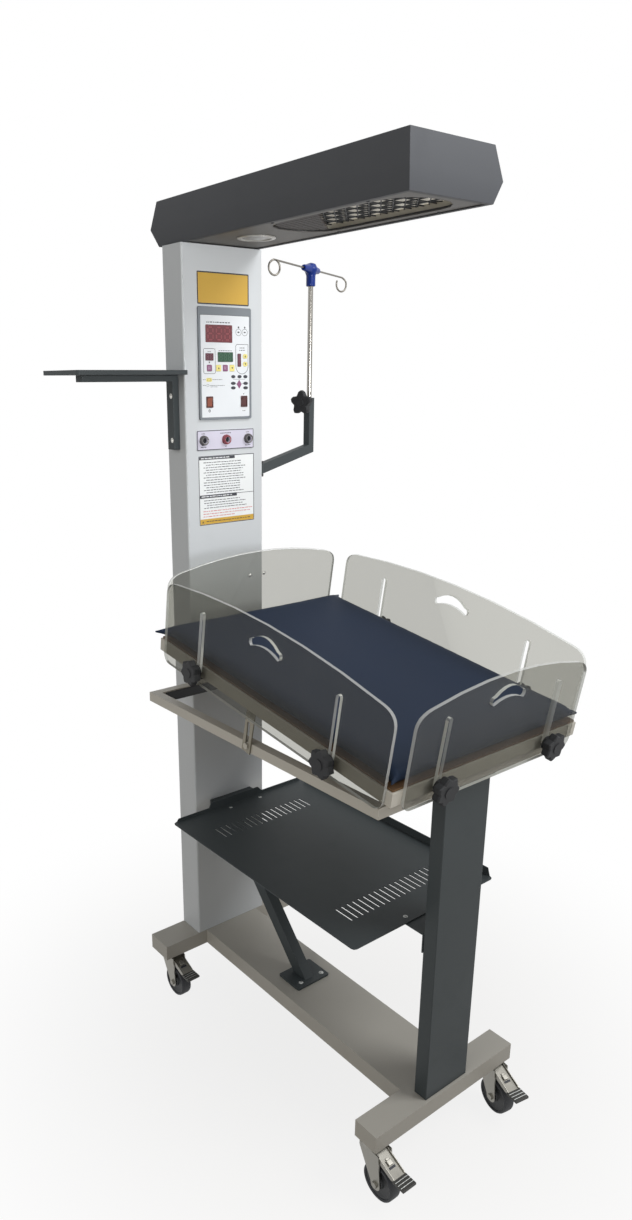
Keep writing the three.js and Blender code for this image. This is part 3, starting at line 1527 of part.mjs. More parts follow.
// Lower shelf with louvre slots, upstands at its rear and right, and a foot to the column
function lowerShelf() {
  const bottom = shelfLevel - shelfSheet;
  const middleY = -(shelfFront + shelfRear) / 2;
  const sheet = roundedRect(shelfHalfWidth * 2, shelfFront - shelfRear, shelfCorner, 0, middleY);
  for (const y of [louvreRearY, louvreFrontY]) {
    for (let i = 0; i < louvreCount; i += 1) {
      const x = louvreOffset + (i - (louvreCount - 1) / 2) * louvrePitch;
      const reach = (louvreLength - louvreWidth) / 2;
      sheet.holes.push(slotShape(louvreWidth, x, y - reach, x, y + reach));
    }
  }
  const wide = shelfHalfWidth - shelfCorner;
  const low = shelfLevel + shelfRearUpstand;
  const high = shelfLevel + shelfTongueRise;
  const rearEdge = outline([
    [-wide, bottom],
    [wide, bottom],
    [wide - shelfRearUpstand, low],
    [shelfTongueRight, low],
    [shelfTongueRight - shelfTongueSlope * 2, high],
    [-shelfTongueLeft + shelfTongueSlope, high],
    [-shelfTongueLeft, low],
    [-wide + shelfRearUpstand, low],
  ]);
  const sideEdge = outline([
    [-shelfFront + shelfCorner, bottom],
    [-shelfRear - shelfCorner, bottom],
    [-shelfRear - shelfCorner, shelfLevel + shelfUpstand],
    [-shelfFront + shelfCorner + shelfUpstandChamfer, shelfLevel + shelfUpstand],
  ]);
  const foot = -seat - shelfSheet;
  return join(
    alongZ(sheet, bottom, shelfLevel, 1),
    alongY(rearEdge, -shelfRear - shelfSheet, -shelfRear),
    alongX(sideEdge, shelfHalfWidth - shelfSheet, shelfHalfWidth),
    slab(shelfFootHalfWidth, -shelfRear - overrun, -seat, bottom, shelfLevel),
    slab(shelfFootHalfWidth, foot, -seat, bottom - shelfFootHeight, shelfLevel),
  );
}
place(warmer, 'lower_shelf', lowerShelf(), paint.slate);

// Bracket that carries the shelf's front edge off the post
function shelfBracket() {
  const top = shelfLevel - shelfSheet - seat;
  const rear = -postFront + postDepth + seat;
  return join(
    slab(shelfBracketHalfWidth, rear, -shelfFront + shelfBracketLap, top - shelfBracketSheet, top),
    slab(shelfBracketHalfWidth, rear, rear + shelfBracketSheet, top - shelfBracketDrop, top),
  );
}
place(warmer, 'shelf_bracket', shelfBracket(), paint.slate);

// Strut from the beam to the column, with a plate at each end
function strut() {
  const lean = THREE.MathUtils.degToRad(strutAngle);
  const rise = Math.tan(lean);
  const half = strutDepth / 2 / Math.sin(lean);
  const foot = baseTop + seat;
  const deck = foot + strutPlateThickness;
  const start = deck - overrun;
  const face = -seat;
  const end = face - strutPlateThickness / 2;
  const zAt = (y, y0) => start + (y - y0) * rise;
  const front = strutFootY - half;
  const rear = strutFootY + half;
  const bar = outline([
    [front, start],
    [rear, start],
    [end, zAt(end, rear)],
    [end, zAt(end, front)],
  ]);
  const headMiddle = (zAt(end, rear) + zAt(end, front)) / 2;
  const footPlate = roundedRect(strutPlateHalfWidth * 2, strutPlateDepth, strutPlateCorner, 0, strutFootY);
  return join(
    alongX(bar, -strutWidth / 2, strutWidth / 2),
    alongZ(footPlate, foot, deck, 3),
    slab(
      strutHeadHalfWidth,
      face - strutPlateThickness,
      face,
      headMiddle - strutHeadHeight / 2,
      headMiddle + strutHeadHeight / 2,
    ),
  );
}
place(warmer, 'strut', strut(), paint.slate);

// Casters, drawn with their swivel on the z axis and their wheel forward along +x
const forkTop = casterHeight - seat;
const crownTop = forkTop - swivelHeight;
const crownBottom = crownTop - crownThickness;
const legInner = wheelWidth / 2 + legGap;
const legOuter = legInner + legThickness;
const pedalPinZ = casterHeight - pedalPinDrop;

function legShape() {
  const heel = legHeelRadius;
  const shape = new THREE.Shape();
  shape.moveTo(-crownRear, crownTop);
  shape.lineTo(-crownRear, crownBottom - crownThickness);
  shape.lineTo(casterTrail - heel * 1.8, wheelRadius + heel * 1.4);
  shape.lineTo(casterTrail - heel, wheelRadius);
  shape.absarc(casterTrail, wheelRadius, heel, Math.PI, Math.PI * 2, false);
  shape.lineTo(legTopFront + legThickness, (crownTop + wheelRadius + heel) / 2);
  shape.lineTo(legTopFront, crownTop);
  return shape;
}

function casterFork() {
  const legs = [-1, 1].map((side) => {
    const y0 = side < 0 ? -legOuter : legInner;
    return alongY(legShape(), y0, y0 + legThickness, 5);
  });
  const axle = rod(axleRadius, 'y', -legOuter, legOuter, 12);
  const nuts = [-1, 1].map((side) => {
    const y0 = side < 0 ? -legOuter - axleNutLength : legOuter - legThickness / 2;
    return rod(axleNutRadius, 'y', y0, y0 + axleNutLength + legThickness / 2, 6);
  });
  const hub = [axle, ...nuts].map((piece) => piece.translate(casterTrail, 0, wheelRadius));
  const pin = rod(pedalPinRadius, 'y', -legOuter, legOuter, 10).translate(pedalPinForward, 0, pedalPinZ);
  return join(
    rod(swivelRadius, 'z', crownTop - crownThickness / 4, forkTop, 10),
    block(-crownRear, crownFront, -legOuter, legOuter, crownBottom, crownTop),
    ...legs,
    ...hub,
    pin,
  );
}

function casterWheel() {
  const half = wheelWidth / 2;
  const s = wheelShoulder;
  const profile = [
    [0, -half + wheelDish],
    [wheelHubRadius, -half + wheelDish],
    [wheelHubRadius * 1.15, -half],
    [wheelRadius - s, -half],
    [wheelRadius, -half + s],
    [wheelRadius, half - s],
    [wheelRadius - s, half],
    [wheelHubRadius * 1.15, half],
    [wheelHubRadius, half - wheelDish],
    [0, half - wheelDish],
  ].map(([x, y]) => new THREE.Vector2(x, y));
  const disk = new THREE.LatheGeometry(profile, wheelFacets);
  return cut(disk, rod(axleRadius + runningGap, 'y', -wheelWidth, wheelWidth, 12));
}

// Pedal: a sheet arm on its pin between the legs, with a ribbed pad at its end
function casterPedal() {
  const half = legInner - boltGap;
  const start = pedalPinForward;
  const top = pedalPinZ + pedalEyeRadius;
  const end = start + pedalReach;
  const low = top - pedalDrop;
  const arm = outline([
    [start, top],
    [start - pedalEyeRadius / 2, top - pedalSheet],
    [start, top - pedalSheet * 1.2],
    [end, low - pedalSheet],
    [end + pedalPadLength / 2, low - pedalSheet],
    [end + pedalPadLength / 2, low],
    [end, low],
  ]);
  const pad = block(
    end - pedalSheet,
    end + pedalPadLength,
    -pedalPadWidth / 2,
    pedalPadWidth / 2,
    low - pedalPadThickness,
    low,
  );
  const pitch = pedalPadLength / (pedalRibs + 1);
  const ribs = Array.from({ length: pedalRibs }, (_, i) => {
    const x = end + pitch * (i + 1);
    return block(
      x - pedalRibWidth / 2,
      x + pedalRibWidth / 2,
      -half,
      half,
      low - pedalSheet / 2,
      low + pedalRibHeight,
    );
  });
  const eye = rod(pedalEyeRadius, 'y', -half, half, 12).translate(start, 0, pedalPinZ);
  const whole = join(alongY(arm, -half, half), eye, pad, ...ribs);
  const bore = rod(pedalPinRadius + seat, 'y', -legOuter, legOuter, 10).translate(start, 0, pedalPinZ);
  const middle = start + pedalReach / 2 + pedalWindow / 2;
  const window = block(
    middle - pedalWindow / 2,
    middle + pedalWindow / 2,
    -pedalWindow / 2,
    pedalWindow / 2,
    low - pedalPadThickness,
    top,
  );
  return cut(whole, bore, window);
}

const forkGeometry = casterFork();
const wheelGeometry = casterWheel();
const pedalGeometry = casterPedal();
const casterX = crossbarHalfLength - casterInset;
const rearCasterX = casterX - rearCasterStep;
const casters = {
  front_left: [-casterX, frontBarMiddle, casterHeadings[0]],
  front_right: [casterX, frontBarMiddle, casterHeadings[1]],
  rear_left: [-rearCasterX, rearBarMiddle, casterHeadings[2]],
  rear_right: [rearCasterX, rearBarMiddle, casterHeadings[3]],
};
for (const [name, [x, y, heading]] of Object.entries(casters)) {
  const caster = new THREE.Group();
  caster.name = `caster_${name}`;
  caster.position.set(x, y, 0);
  caster.rotation.z = THREE.MathUtils.degToRad(heading);
  warmer.add(caster);
  place(caster, `caster_fork_${name}`, forkGeometry, metal.chrome);
  const wheel = place(caster, `caster_wheel_${name}`, wheelGeometry, plastic.tyre);
  wheel.position.set(casterTrail, 0, wheelRadius);
  place(caster, `caster_pedal_${name}`, pedalGeometry, metal.zinc);
}

warmer.position.set(-footprintX, -footprintY, 0);

export default warmer;
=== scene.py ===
"""Infant radiant warmer: finishes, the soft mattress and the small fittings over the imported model."""
import json
import math
import random

import bpy
from mathutils import Matrix, Vector


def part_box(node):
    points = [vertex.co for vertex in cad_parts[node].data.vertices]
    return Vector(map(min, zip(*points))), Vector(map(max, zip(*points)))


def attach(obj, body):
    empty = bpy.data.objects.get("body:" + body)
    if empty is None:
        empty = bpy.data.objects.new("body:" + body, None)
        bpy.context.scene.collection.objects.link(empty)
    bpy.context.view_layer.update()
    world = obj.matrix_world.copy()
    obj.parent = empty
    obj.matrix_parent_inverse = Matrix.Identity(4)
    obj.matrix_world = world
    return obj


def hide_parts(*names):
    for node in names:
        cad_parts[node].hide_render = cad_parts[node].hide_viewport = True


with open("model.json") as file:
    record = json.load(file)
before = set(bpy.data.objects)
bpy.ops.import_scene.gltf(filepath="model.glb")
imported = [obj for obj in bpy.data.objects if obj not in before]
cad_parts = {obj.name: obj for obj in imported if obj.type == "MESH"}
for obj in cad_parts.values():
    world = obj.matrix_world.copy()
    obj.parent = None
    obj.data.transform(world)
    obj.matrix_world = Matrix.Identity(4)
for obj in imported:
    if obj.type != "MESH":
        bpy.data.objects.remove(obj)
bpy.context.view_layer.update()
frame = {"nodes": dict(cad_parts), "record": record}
scene = bpy.context.scene
body_of_node = {node: body for body, nodes in frame["record"]["behaviour"]["bodies"].items() for node in nodes}
slot_of_node = {part["node"]: part["material_slot"] for part in frame["record"]["subparts"]}

# ---- frames that pieces are drawn in, millimetres

MM = Matrix.Scale(0.001, 4)
# COLUMN stands on the floor under the middle of the column's front face; FRONT draws on that face.
COLUMN = Matrix.Translation((-0.082134, 0.300234, 0))
FRONT = COLUMN @ Matrix.Rotation(math.pi / 2, 4, "X")
TILT = math.radians(8.45)
TRAY = COLUMN @ Matrix.Translation((0, -0.752, 0.8495)) @ Matrix.Rotation(TILT, 4, "X")
ARM = COLUMN @ Matrix.Translation((0.120, 0.035, 0)) @ Matrix.Rotation(math.radians(17.0), 4, "Z")
# Each caster's place in the column's frame and its heading in degrees.
CASTERS = {"front_left": (-174, -689.5, -91), "front_right": (174, -689.5, -100),
           "rear_left": (-161, 35, -89), "rear_right": (161, 35, 143)}


def at(x, y, z, where=COLUMN):
    """A point drawn in millimetres in a frame, as a point of the row frame."""
    return where @ MM @ Vector((x, y, z))


def heading(x, y, angle):
    """The frame of a caster: x forward along its heading, the floor at zero."""
    return COLUMN @ Matrix.Translation((x / 1000, y / 1000, 0)) @ Matrix.Rotation(math.radians(angle), 4, "Z")


# ---- camera and light

def photo_camera():
    """The photograph's view, as solved from the object's straight edges, in pixels of its frame."""
    wide, tall, sensor = 632, 1220, 36.0
    focal, centre = 877.6, (245.7, 656.4)
    data = bpy.data.cameras.new("photo_camera")
    data.sensor_fit = "VERTICAL"
    data.sensor_height = sensor
    data.lens = focal * sensor / tall
    data.shift_x = (wide / 2 - centre[0]) / tall
    data.shift_y = (centre[1] - tall / 2) / tall
    data.clip_end = 100.0
    camera = bpy.data.objects.new("photo_camera", data)
    yaw = Matrix.Rotation(math.radians(-37.0), 4, "Z")
    pitch = Matrix.Rotation(math.radians(90.0 - 17.45), 4, "X")
    roll = Matrix.Rotation(math.radians(-0.41), 4, "Z")
    camera.matrix_world = Matrix.Translation(at(-1146.8, -1589.5, 1478.1)) @ yaw @ pitch @ roll
    scene.collection.objects.link(camera)
    scene.camera = camera


def soft_lamp(name, place, aim, energy, size, colour=(1, 1, 1), spread=180.0):
    data = bpy.data.lights.new(name, "AREA")
    data.energy = energy
    data.color = colour
    data.shape = "DISK"
    data.size = size
    data.spread = math.radians(spread)
    light = bpy.data.objects.new(name, data)
    light.location = place
    light.rotation_euler = (Vector(aim) - Vector(place)).to_track_quat("-Z", "Y").to_euler()
    scene.collection.objects.link(light)


# ---- shader expressions

class Field:
    """A socket that Python's operators build on with Math nodes."""

    def __init__(self, paint, socket):
        self.paint = paint
        self.socket = socket

    def maths(self, operation, *values):
        return self.paint.node("ShaderNodeMath", {"operation": operation}, *values)

    def __add__(self, other):
        return self.maths("ADD", self, other)

    def __rsub__(self, other):
        return self.maths("SUBTRACT", other, self)

    def __mul__(self, other):
        return self.maths("MULTIPLY", self, other)

    def sine(self):
        return self.maths("SINE", self)

    def least(self, other):
        return self.maths("MINIMUM", self, other)

    def most(self, other):
        return self.maths("MAXIMUM", self, other)

    def ease(self, low, high):
        """From 0 to 1 as this field goes from low to high, with soft ends."""
        return self.paint.node("ShaderNodeMapRange", {"interpolation_type": "SMOOTHSTEP"}, self, low, high, 0.0, 1.0)


class Nodes:
    """A node tree, and how its nodes are added and fed."""

    def __init__(self, tree):
        self.tree = tree

    def feed(self, socket, value):
        if isinstance(value, Field):
            self.tree.links.new(value.socket, socket)
        elif socket.type == "RGBA":
            socket.default_value = (*value[:3], 1.0)
        else:
            socket.default_value = value

    def node(self, kind, settings, *values, out=0, **named):
        """Adds any node: its settings first, then the values or links of its sockets."""
        node = self.tree.nodes.new(kind)
        for key, value in settings.items():
            setattr(node, key, value)
        for socket, value in zip([s for s in node.inputs if s.enabled], values):
            self.feed(socket, value)
        for key, value in named.items():
            self.feed(node.inputs[key.replace("_", " ")], value)
        if isinstance(out, str):
            return Field(self, node.outputs[out])
        return Field(self, [s for s in node.outputs if s.enabled][out])

    def seen_directly(self):
        """1 for rays that show the backdrop itself: from the camera, in a mirror or through glass."""
        path = self.tree.nodes.new("ShaderNodeLightPath")
        seen = Field(self, path.outputs["Is Camera Ray"])
        for ray in ("Is Glossy Ray", "Is Transmission Ray"):
            seen = seen.most(Field(self, path.outputs[ray]))
        return seen


class Paint(Nodes):
    """One finish: a Principled shader and the nodes that vary it."""

    def __init__(self, name, **fixed):
        self.material = bpy.data.materials.new(name)
        self.material.use_nodes = True
        super().__init__(self.material.node_tree)
        self.tree.nodes.clear()
        self.output = self.tree.nodes.new("ShaderNodeOutputMaterial")
        self.shader = self.tree.nodes.new("ShaderNodeBsdfPrincipled")
        self.tree.links.new(self.shader.outputs[0], self.output.inputs["Surface"])
        self.set(**fixed)

    def set(self, **values):
        for key, value in values.items():
            self.feed(self.shader.inputs[key.replace("_", " ")], value)

    def place(self, scale=(1, 1, 1), turn=(0, 0, 0)):
        where = self.node("ShaderNodeTexCoord", {}, out="Object")
        return self.node("ShaderNodeMapping", {}, Vector=where, Scale=scale, Rotation=turn)

    def axes(self, **mapping):
        """The three coordinates of a point, as fields."""
        split = self.tree.nodes.new("ShaderNodeSeparateXYZ")
        self.feed(split.inputs[0], self.place(**mapping))
        return [Field(self, socket) for socket in split.outputs]

    def noise(self, scale, detail=3.0, roughness=0.55, stretch=(1, 1, 1)):
        where = self.place(scale=stretch)
        return self.node("ShaderNodeTexNoise", {}, Vector=where, Scale=scale, Detail=detail, Roughness=roughness)

    def mix(self, factor, low, high):
        """Blends two colours."""
        node = self.tree.nodes.new("ShaderNodeMix")
        node.data_type = "RGBA"
        self.feed(node.inputs["Factor"], factor)
        self.feed(node.inputs[6], low)
        self.feed(node.inputs[7], high)
        return Field(self, node.outputs[2])

    def bump(self, height, distance, strength=1.0):
        self.set(Normal=self.node("ShaderNodeBump", {}, Height=height, Distance=distance, Strength=strength))

    def over(self, factor, shader):
        """Lets another shader show where factor is 1."""
        blend = self.tree.nodes.new("ShaderNodeMixShader")
        self.feed(blend.inputs[0], factor)
        self.tree.links.new(self.shader.outputs[0], blend.inputs[1])
        self.tree.links.new(shader.outputs[0], blend.inputs[2])
        self.tree.links.new(blend.outputs[0], self.output.inputs["Surface"])


def tone(red, green, blue):
    """A screen colour, 0 to 255, as the renderer's linear colour."""
    return tuple(v / 3294.6 if v <= 10.3 else ((v / 255 + 0.055) / 1.055) ** 2.4 for v in (red, green, blue))


def shade(colour, factor):
    return tuple(channel * factor for channel in colour)


finishes = {}


def keep(name, paint):
    finishes[name] = paint.material


def sheet_paint(name, colour, roughness, drift=0.04, scuff=0.1, sheen=0.4):
    """Powder coat on sheet: orange peel, a slow drift of tone, faint handling marks and dust."""
    paint = Paint(name, Specular_IOR_Level=sheen)
    drifting = paint.noise(2.3, 2.0)
    dust = paint.noise(16.0, 5.0, 0.65).ease(0.5, 0.8)
    speck = paint.noise(420.0, 2.0, 0.5).ease(0.42, 0.7)
    peel = paint.noise(1100.0, 2.0, 0.5)
    body = paint.mix(drifting, shade(colour, 1 - drift), shade(colour, 1 + drift))
    body = paint.mix(speck * 0.1, body, shade(colour, 1.14))
    paint.set(Base_Color=paint.mix(dust * scuff, body, shade(colour, 0.8)))
    paint.set(Roughness=peel * 0.12 + dust * 0.06 + (roughness - 0.08))
    paint.bump(peel + speck * 0.5, 0.00005, 0.7)
    keep(name, paint)


def plated(name, colour, roughness, scratch=0.05, bloom_share=0.1, metal=1.0, depth=0.00002, glow=0.0):
    """Chrome or zinc plate with fine handling scratches and a soft bloom; glow adds a painted glow of its own colour.
    """
    paint = Paint(name, Metallic=metal, Emission_Color=colour, Emission_Strength=glow)
    bloom = paint.noise(34.0, 4.0, 0.6)
    lines = paint.noise(180.0, 3.0, 0.6, stretch=(1.0, 1.0, 0.08))
    paint.set(Base_Color=paint.mix(bloom, shade(colour, 0.84), colour))
    paint.set(Roughness=bloom * bloom_share + lines * scratch + roughness)
    paint.bump(lines, depth, 0.35)
    keep(name, paint)


def moulded(name, colour, roughness, coat=0.0, sheen=0.5):
    """Moulded plastic: an even tone with a fine spark texture."""
    paint = Paint(name, Coat_Weight=coat, Coat_Roughness=0.12, Specular_IOR_Level=sheen)
    spark = paint.noise(1500.0, 2.0, 0.5)
    cloud = paint.noise(11.0, 3.0)
    paint.set(Base_Color=paint.mix(cloud, shade(colour, 0.93), shade(colour, 1.07)))
    paint.set(Roughness=spark * 0.14 + cloud * 0.06 + (roughness - 0.1))
    paint.bump(spark, 0.00004, 0.5)
    keep(name, paint)


# Each finish: its screen colour, its roughness and what differs from its kind's usual settings.
SHEET_PAINTS = {
    "column_paint": ((200, 204, 207), 0.5, dict(scuff=0.08)),
    "base_paint": ((170, 167, 159), 0.52, dict(scuff=0.14)),
    "slate_paint": ((57, 63, 65), 0.55, dict(drift=0.08, sheen=0.28)),
    "hood_paint": ((78, 80, 84), 0.55, dict(sheen=0.15)),
    "faceplate_paint": ((102, 100, 97), 0.5, dict(sheen=0.25)),
    "black_paint": ((34, 35, 37), 0.5, {}),
    "bed_paint": ((186, 182, 172), 0.42, {}),
}
METALS = {
    # mirror_metal glows faintly in its own colour: a painted glow on the reflector, which is no lamp.
    "mirror_metal": ((240, 236, 226), 0.42, dict(scratch=0.03, metal=0.5, depth=0.000006, glow=0.2)),
    "galvanised": ((206, 202, 190), 0.42, dict(scratch=0.05, metal=0.25, depth=0.000006)),
    "zinc": ((170, 172, 170), 0.36, dict(scratch=0.1)),
    "chrome": ((158, 155, 149), 0.16, dict(scratch=0.01, bloom_share=0.01, depth=0.0000004)),
    "hook_steel": ((132, 128, 121), 0.3, dict(scratch=0.03, depth=0.000006)),
    "socket_steel": ((104, 102, 102), 0.34, dict(scratch=0.03, depth=0.000006)),
    "bright_zinc": ((214, 213, 207), 0.3, dict(scratch=0.04)),
    "fork_steel": ((150, 148, 141), 0.2, dict(scratch=0.08, depth=0.00002, bloom_share=0.25)),
    "stay_steel": ((134, 129, 115), 0.4, dict(scratch=0.06, metal=0.5, depth=0.00001)),
}
PLASTICS = {
    "element_ceramic": ((205, 198, 184), 0.7, {}),
    "lamp_lens": ((176, 175, 170), 0.3, dict(coat=0.3)),
    "bezel_plastic": ((118, 124, 130), 0.5, {}),
    "membrane_plastic": ((222, 226, 230), 0.4, {}),
    "socket_plastic": ((206, 203, 219), 0.45, {}),
    "vinyl_plain": ((33, 44, 63), 0.55, dict(sheen=0.1)),
    "knob_plastic": ((38, 39, 41), 0.55, dict(sheen=0.25)),
    "blue_plastic": ((8, 46, 132), 0.4, dict(coat=0.1, sheen=0.25)),
    "tyre": ((44, 46, 50), 0.62, {}),
    "rocker_red": ((132, 66, 44), 0.3, dict(coat=0.4)),
    "rocker_dark": ((72, 27, 27), 0.3, dict(coat=0.4)),
    "key_plum": ((128, 76, 112), 0.5, {}),
    "key_yellow": ((226, 214, 130), 0.5, {}),
    "ink": ((44, 46, 54), 0.55, {}),
    "print_pale": ((206, 190, 206), 0.5, {}),
    "print_red": ((196, 92, 92), 0.55, {}),
    "label_white": ((232, 235, 236), 0.35, dict(coat=0.2)),
    "label_yellow": ((202, 162, 62), 0.4, dict(coat=0.1)),
    "display_red": ((104, 40, 48), 0.22, dict(coat=0.5)),
    "display_plum": ((84, 42, 56), 0.22, dict(coat=0.5)),
    "display_green": ((34, 74, 52), 0.22, dict(coat=0.5)),
    "figure_red": ((132, 62, 68), 0.3, {}),
    "figure_green": ((44, 92, 64), 0.3, {}),
    "figure_plum": ((104, 58, 72), 0.3, {}),
    "socket_red": ((128, 44, 56), 0.3, dict(coat=0.4)),
    "lamp_glass": ((124, 122, 117), 0.35, dict(coat=0.3)),
    # Dark finish for the slats in the heater opening: painted shade where the reflector looks dark.
    "element_dark": ((46, 38, 34), 0.6, {}),
    "wheel_grey": ((50, 52, 54), 0.55, {}),
    "pad_rubber": ((62, 62, 60), 0.6, {}),
}
for make, table in ((sheet_paint, SHEET_PAINTS), (plated, METALS), (moulded, PLASTICS)):
    for name, (screen, roughness, settings) in table.items():
        make(name, tone(*screen), roughness, **settings)


def plywood():
    """The board under the mattress: thin veneers in its cut edge, long grain on its faces."""
    paint = Paint("board_wood", Specular_IOR_Level=0.25)
    grain = paint.noise(60.0, 6.0, 0.6, stretch=(1.0, 0.08, 1.0))
    veneer = (paint.axes(turn=(-TILT, 0, 0))[2] * 2600.0).sine().ease(-0.4, 0.6)
    colour = paint.mix(veneer, tone(70, 50, 34), tone(132, 102, 70))
    paint.set(Base_Color=paint.mix(grain * 0.7, colour, tone(96, 72, 48)), Roughness=grain * 0.2 + 0.6)
    paint.bump(grain, 0.0002, 0.5)
    keep("board_wood", paint)


def acrylic(name, base, tint, haze, gloss):
    """Clear sheet: see-through, with a faint haze, wiped smears and a gloss that grows at a slant; where the haze is
    heavy on a near-white base, it is a painted highlight.
    """
    paint = Paint(name, Roughness=0.05, Base_Color=base)
    smear = paint.noise(9.0, 5.0, 0.62).ease(0.48, 0.85)
    clear = paint.tree.nodes.new("ShaderNodeBsdfTransparent")
    clear.inputs[0].default_value = (*tint, 1.0)
    slant = paint.node("ShaderNodeFresnel", {}, 1.49)
    solid = (slant * gloss + smear * 0.015 + haze).least(1.0)
    paint.over(1.0 - solid, clear)
    keep(name, paint)


plywood()
acrylic("clear_acrylic", tone(176, 178, 182), (0.768, 0.767, 0.742), 0.010, 0.16)
# The cut faces and the rounded rims beside them are near-white and barely clear: a painted highlight along the sheet's
# edges.
acrylic("cut_acrylic", tone(236, 238, 236), (0.9, 0.91, 0.9), 0.34, 0.6)
acrylic("edge_acrylic", tone(250, 252, 250), (0.95, 0.96, 0.95), 0.88, 1.0)

# ---- helpers for pieces


def only(*pieces):
    bpy.ops.object.select_all(action="DESELECT")
    for piece in pieces:
        piece.select_set(True)
    bpy.context.view_layer.objects.active = pieces[0]


def modify(piece, kind, **settings):
    """Adds a modifier and applies it."""
    modifier = piece.modifiers.new(kind.lower(), kind)
    for key, value in settings.items():
        setattr(modifier, key, value)
    only(piece)
    bpy.ops.object.modifier_apply(modifier=modifier.name)
    return piece


def bevelled(piece, width, segments=3, angle=30.0):
    return modify(piece, "BEVEL", width=width / 1000, segments=segments, limit_method="ANGLE",
                  angle_limit=math.radians(angle))


def smooth(piece, angle=35.0):
    only(piece)
    bpy.ops.object.shade_smooth_by_angle(angle=math.radians(angle))
    modify(piece, "WEIGHTED_NORMAL", keep_sharp=True)


def smooth_all(piece):
    only(piece)
    bpy.ops.object.shade_smooth()


def settle(piece, name, where):
    """Moves a piece drawn in a frame to the row frame, with its place in its mesh."""
    piece.name = piece.data.name = name
    bpy.context.view_layer.update()
    piece.matrix_world = where @ piece.matrix_world
    only(piece)
    bpy.ops.object.transform_apply(location=True, rotation=True, scale=True)
    return piece


def dress(piece, *names):
    piece.data.materials.clear()
    for name in names:
        piece.data.materials.append(finishes[name])


def fit(piece, body, *names, slot=None, stands_for=()):
    """Finishes a piece and lets it ride."""
    dress(piece, *names)
    if stands_for:
        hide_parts(*stands_for)
    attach(piece, body)
    return piece


def join(name, pieces):
    only(*pieces)
    bpy.ops.object.join()
    pieces[0].name = pieces[0].data.name = name
    return pieces[0]


def box(low, high, name="box", where=COLUMN, edge=0.5, segments=2):
    bpy.ops.object.select_all(action="DESELECT")
    middle = [(a + b) / 2000 for a, b in zip(low, high)]
    size = [(b - a) / 1000 for a, b in zip(low, high)]
    bpy.ops.mesh.primitive_cube_add(size=1, location=middle, scale=size)
    piece = settle(bpy.context.object, name, where)
    return bevelled(piece, edge, segments) if edge else piece


def rod(start, end, radius, name="rod", where=COLUMN, sides=32, edge=0.0, segments=2, tip=None):
    """A round bar between two points, or a cone where its far end has another radius."""
    bpy.ops.object.select_all(action="DESELECT")
    start, end = Vector(start) / 1000, Vector(end) / 1000
    turn = (end - start).to_track_quat("Z", "Y").to_euler()
    bpy.ops.mesh.primitive_cone_add(vertices=sides, radius1=radius / 1000,
                                    radius2=(radius if tip is None else tip) / 1000,
                                    depth=(end - start).length, location=(start + end) / 2, rotation=turn)
    piece = settle(bpy.context.object, name, where)
    return bevelled(piece, edge, segments, 40.0) if edge else piece


def merge_corners(piece, distance):
    """Joins a piece's doubled corners, and leaves it in edit mode."""
    only(piece)
    bpy.ops.object.mode_set(mode="EDIT")
    bpy.ops.mesh.select_all(action="SELECT")
    bpy.ops.mesh.remove_doubles(threshold=distance)


def curve(splines, name, where, flat=False, closed=True, **settings):
    """A poly curve in millimetres, made a mesh."""
    data = bpy.data.curves.new(name, "CURVE")
    data.dimensions = "2D" if flat else "3D"
    for key, value in settings.items():
        setattr(data, key, value)
    for points in splines:
        spline = data.splines.new("POLY")
        spline.points.add(len(points) - 1)
        for point, place in zip(spline.points, points):
            x, y, z = (*place, 0)[:3]
            point.co = (x / 1000, y / 1000, z / 1000, 1.0)
        spline.use_cyclic_u = closed
    piece = bpy.data.objects.new(name, data)
    scene.collection.objects.link(piece)
    only(piece)
    bpy.ops.object.convert(target="MESH")
    piece = bpy.context.object
    merge_corners(piece, 0.000002)
    bpy.ops.mesh.normals_make_consistent(inside=False)
    bpy.ops.object.mode_set(mode="OBJECT")
    return settle(piece, name, where)


def plate(outlines, out, thickness, name="plate", where=FRONT):
    """A flat plate cut to outlines, from out to out + thickness above its frame's plane."""
    lifted = where @ Matrix.Translation((0, 0, (out + thickness / 2) / 1000))
    return curve(outlines, name, lifted, flat=True, fill_mode="BOTH", extrude=thickness / 2000)


def wire(points, radius, name="wire", where=COLUMN, closed=False, sides=3):
    return curve([points], name, where, closed=closed, fill_mode="FULL", bevel_depth=radius / 1000,
                 bevel_resolution=sides, use_fill_caps=not closed)


def turned(profile, name="turned", where=COLUMN, steps=48):
    """A turned piece: a profile of radius and height spun about its frame's z axis."""
    points = [(radius, 0, height) for radius, height in profile]
    piece = curve([points], name, Matrix.Identity(4), closed=False)
    modify(piece, "SCREW", angle=math.tau, steps=steps, render_steps=steps, use_merge_vertices=True,
           merge_threshold=0.00001)
    merge_corners(piece, 0.00001)
    bpy.ops.mesh.normals_make_consistent(inside=False)
    bpy.ops.object.mode_set(mode="OBJECT")
    return settle(piece, name, where)


def rounded(x0, x1, z0, z1, radius=1.0, steps=4):
    corners = [(x1 - radius, z1 - radius, 0), (x0 + radius, z1 - radius, 90),
               (x0 + radius, z0 + radius, 180), (x1 - radius, z0 + radius, 270)]
    return [(cx + radius * math.cos(math.radians(start + 90 * i / steps)),
             cz + radius * math.sin(math.radians(start + 90 * i / steps)))
            for cx, cz, start in corners for i in range(steps + 1)]


def ring_line(x0, x1, z0, z1, radius, width):
    """A printed outline: a rounded rectangle and the same one drawn in by its line's width."""
    inner = max(radius - width, 0.2)
    return [rounded(x0, x1, z0, z1, radius), rounded(x0 + width, x1 - width, z0 + width, z1 - width, inner)]


def oval(x, z, across, up, steps=24):
    return [(x + across * math.cos(math.tau * i / steps), z + up * math.sin(math.tau * i / steps))
            for i in range(steps)]


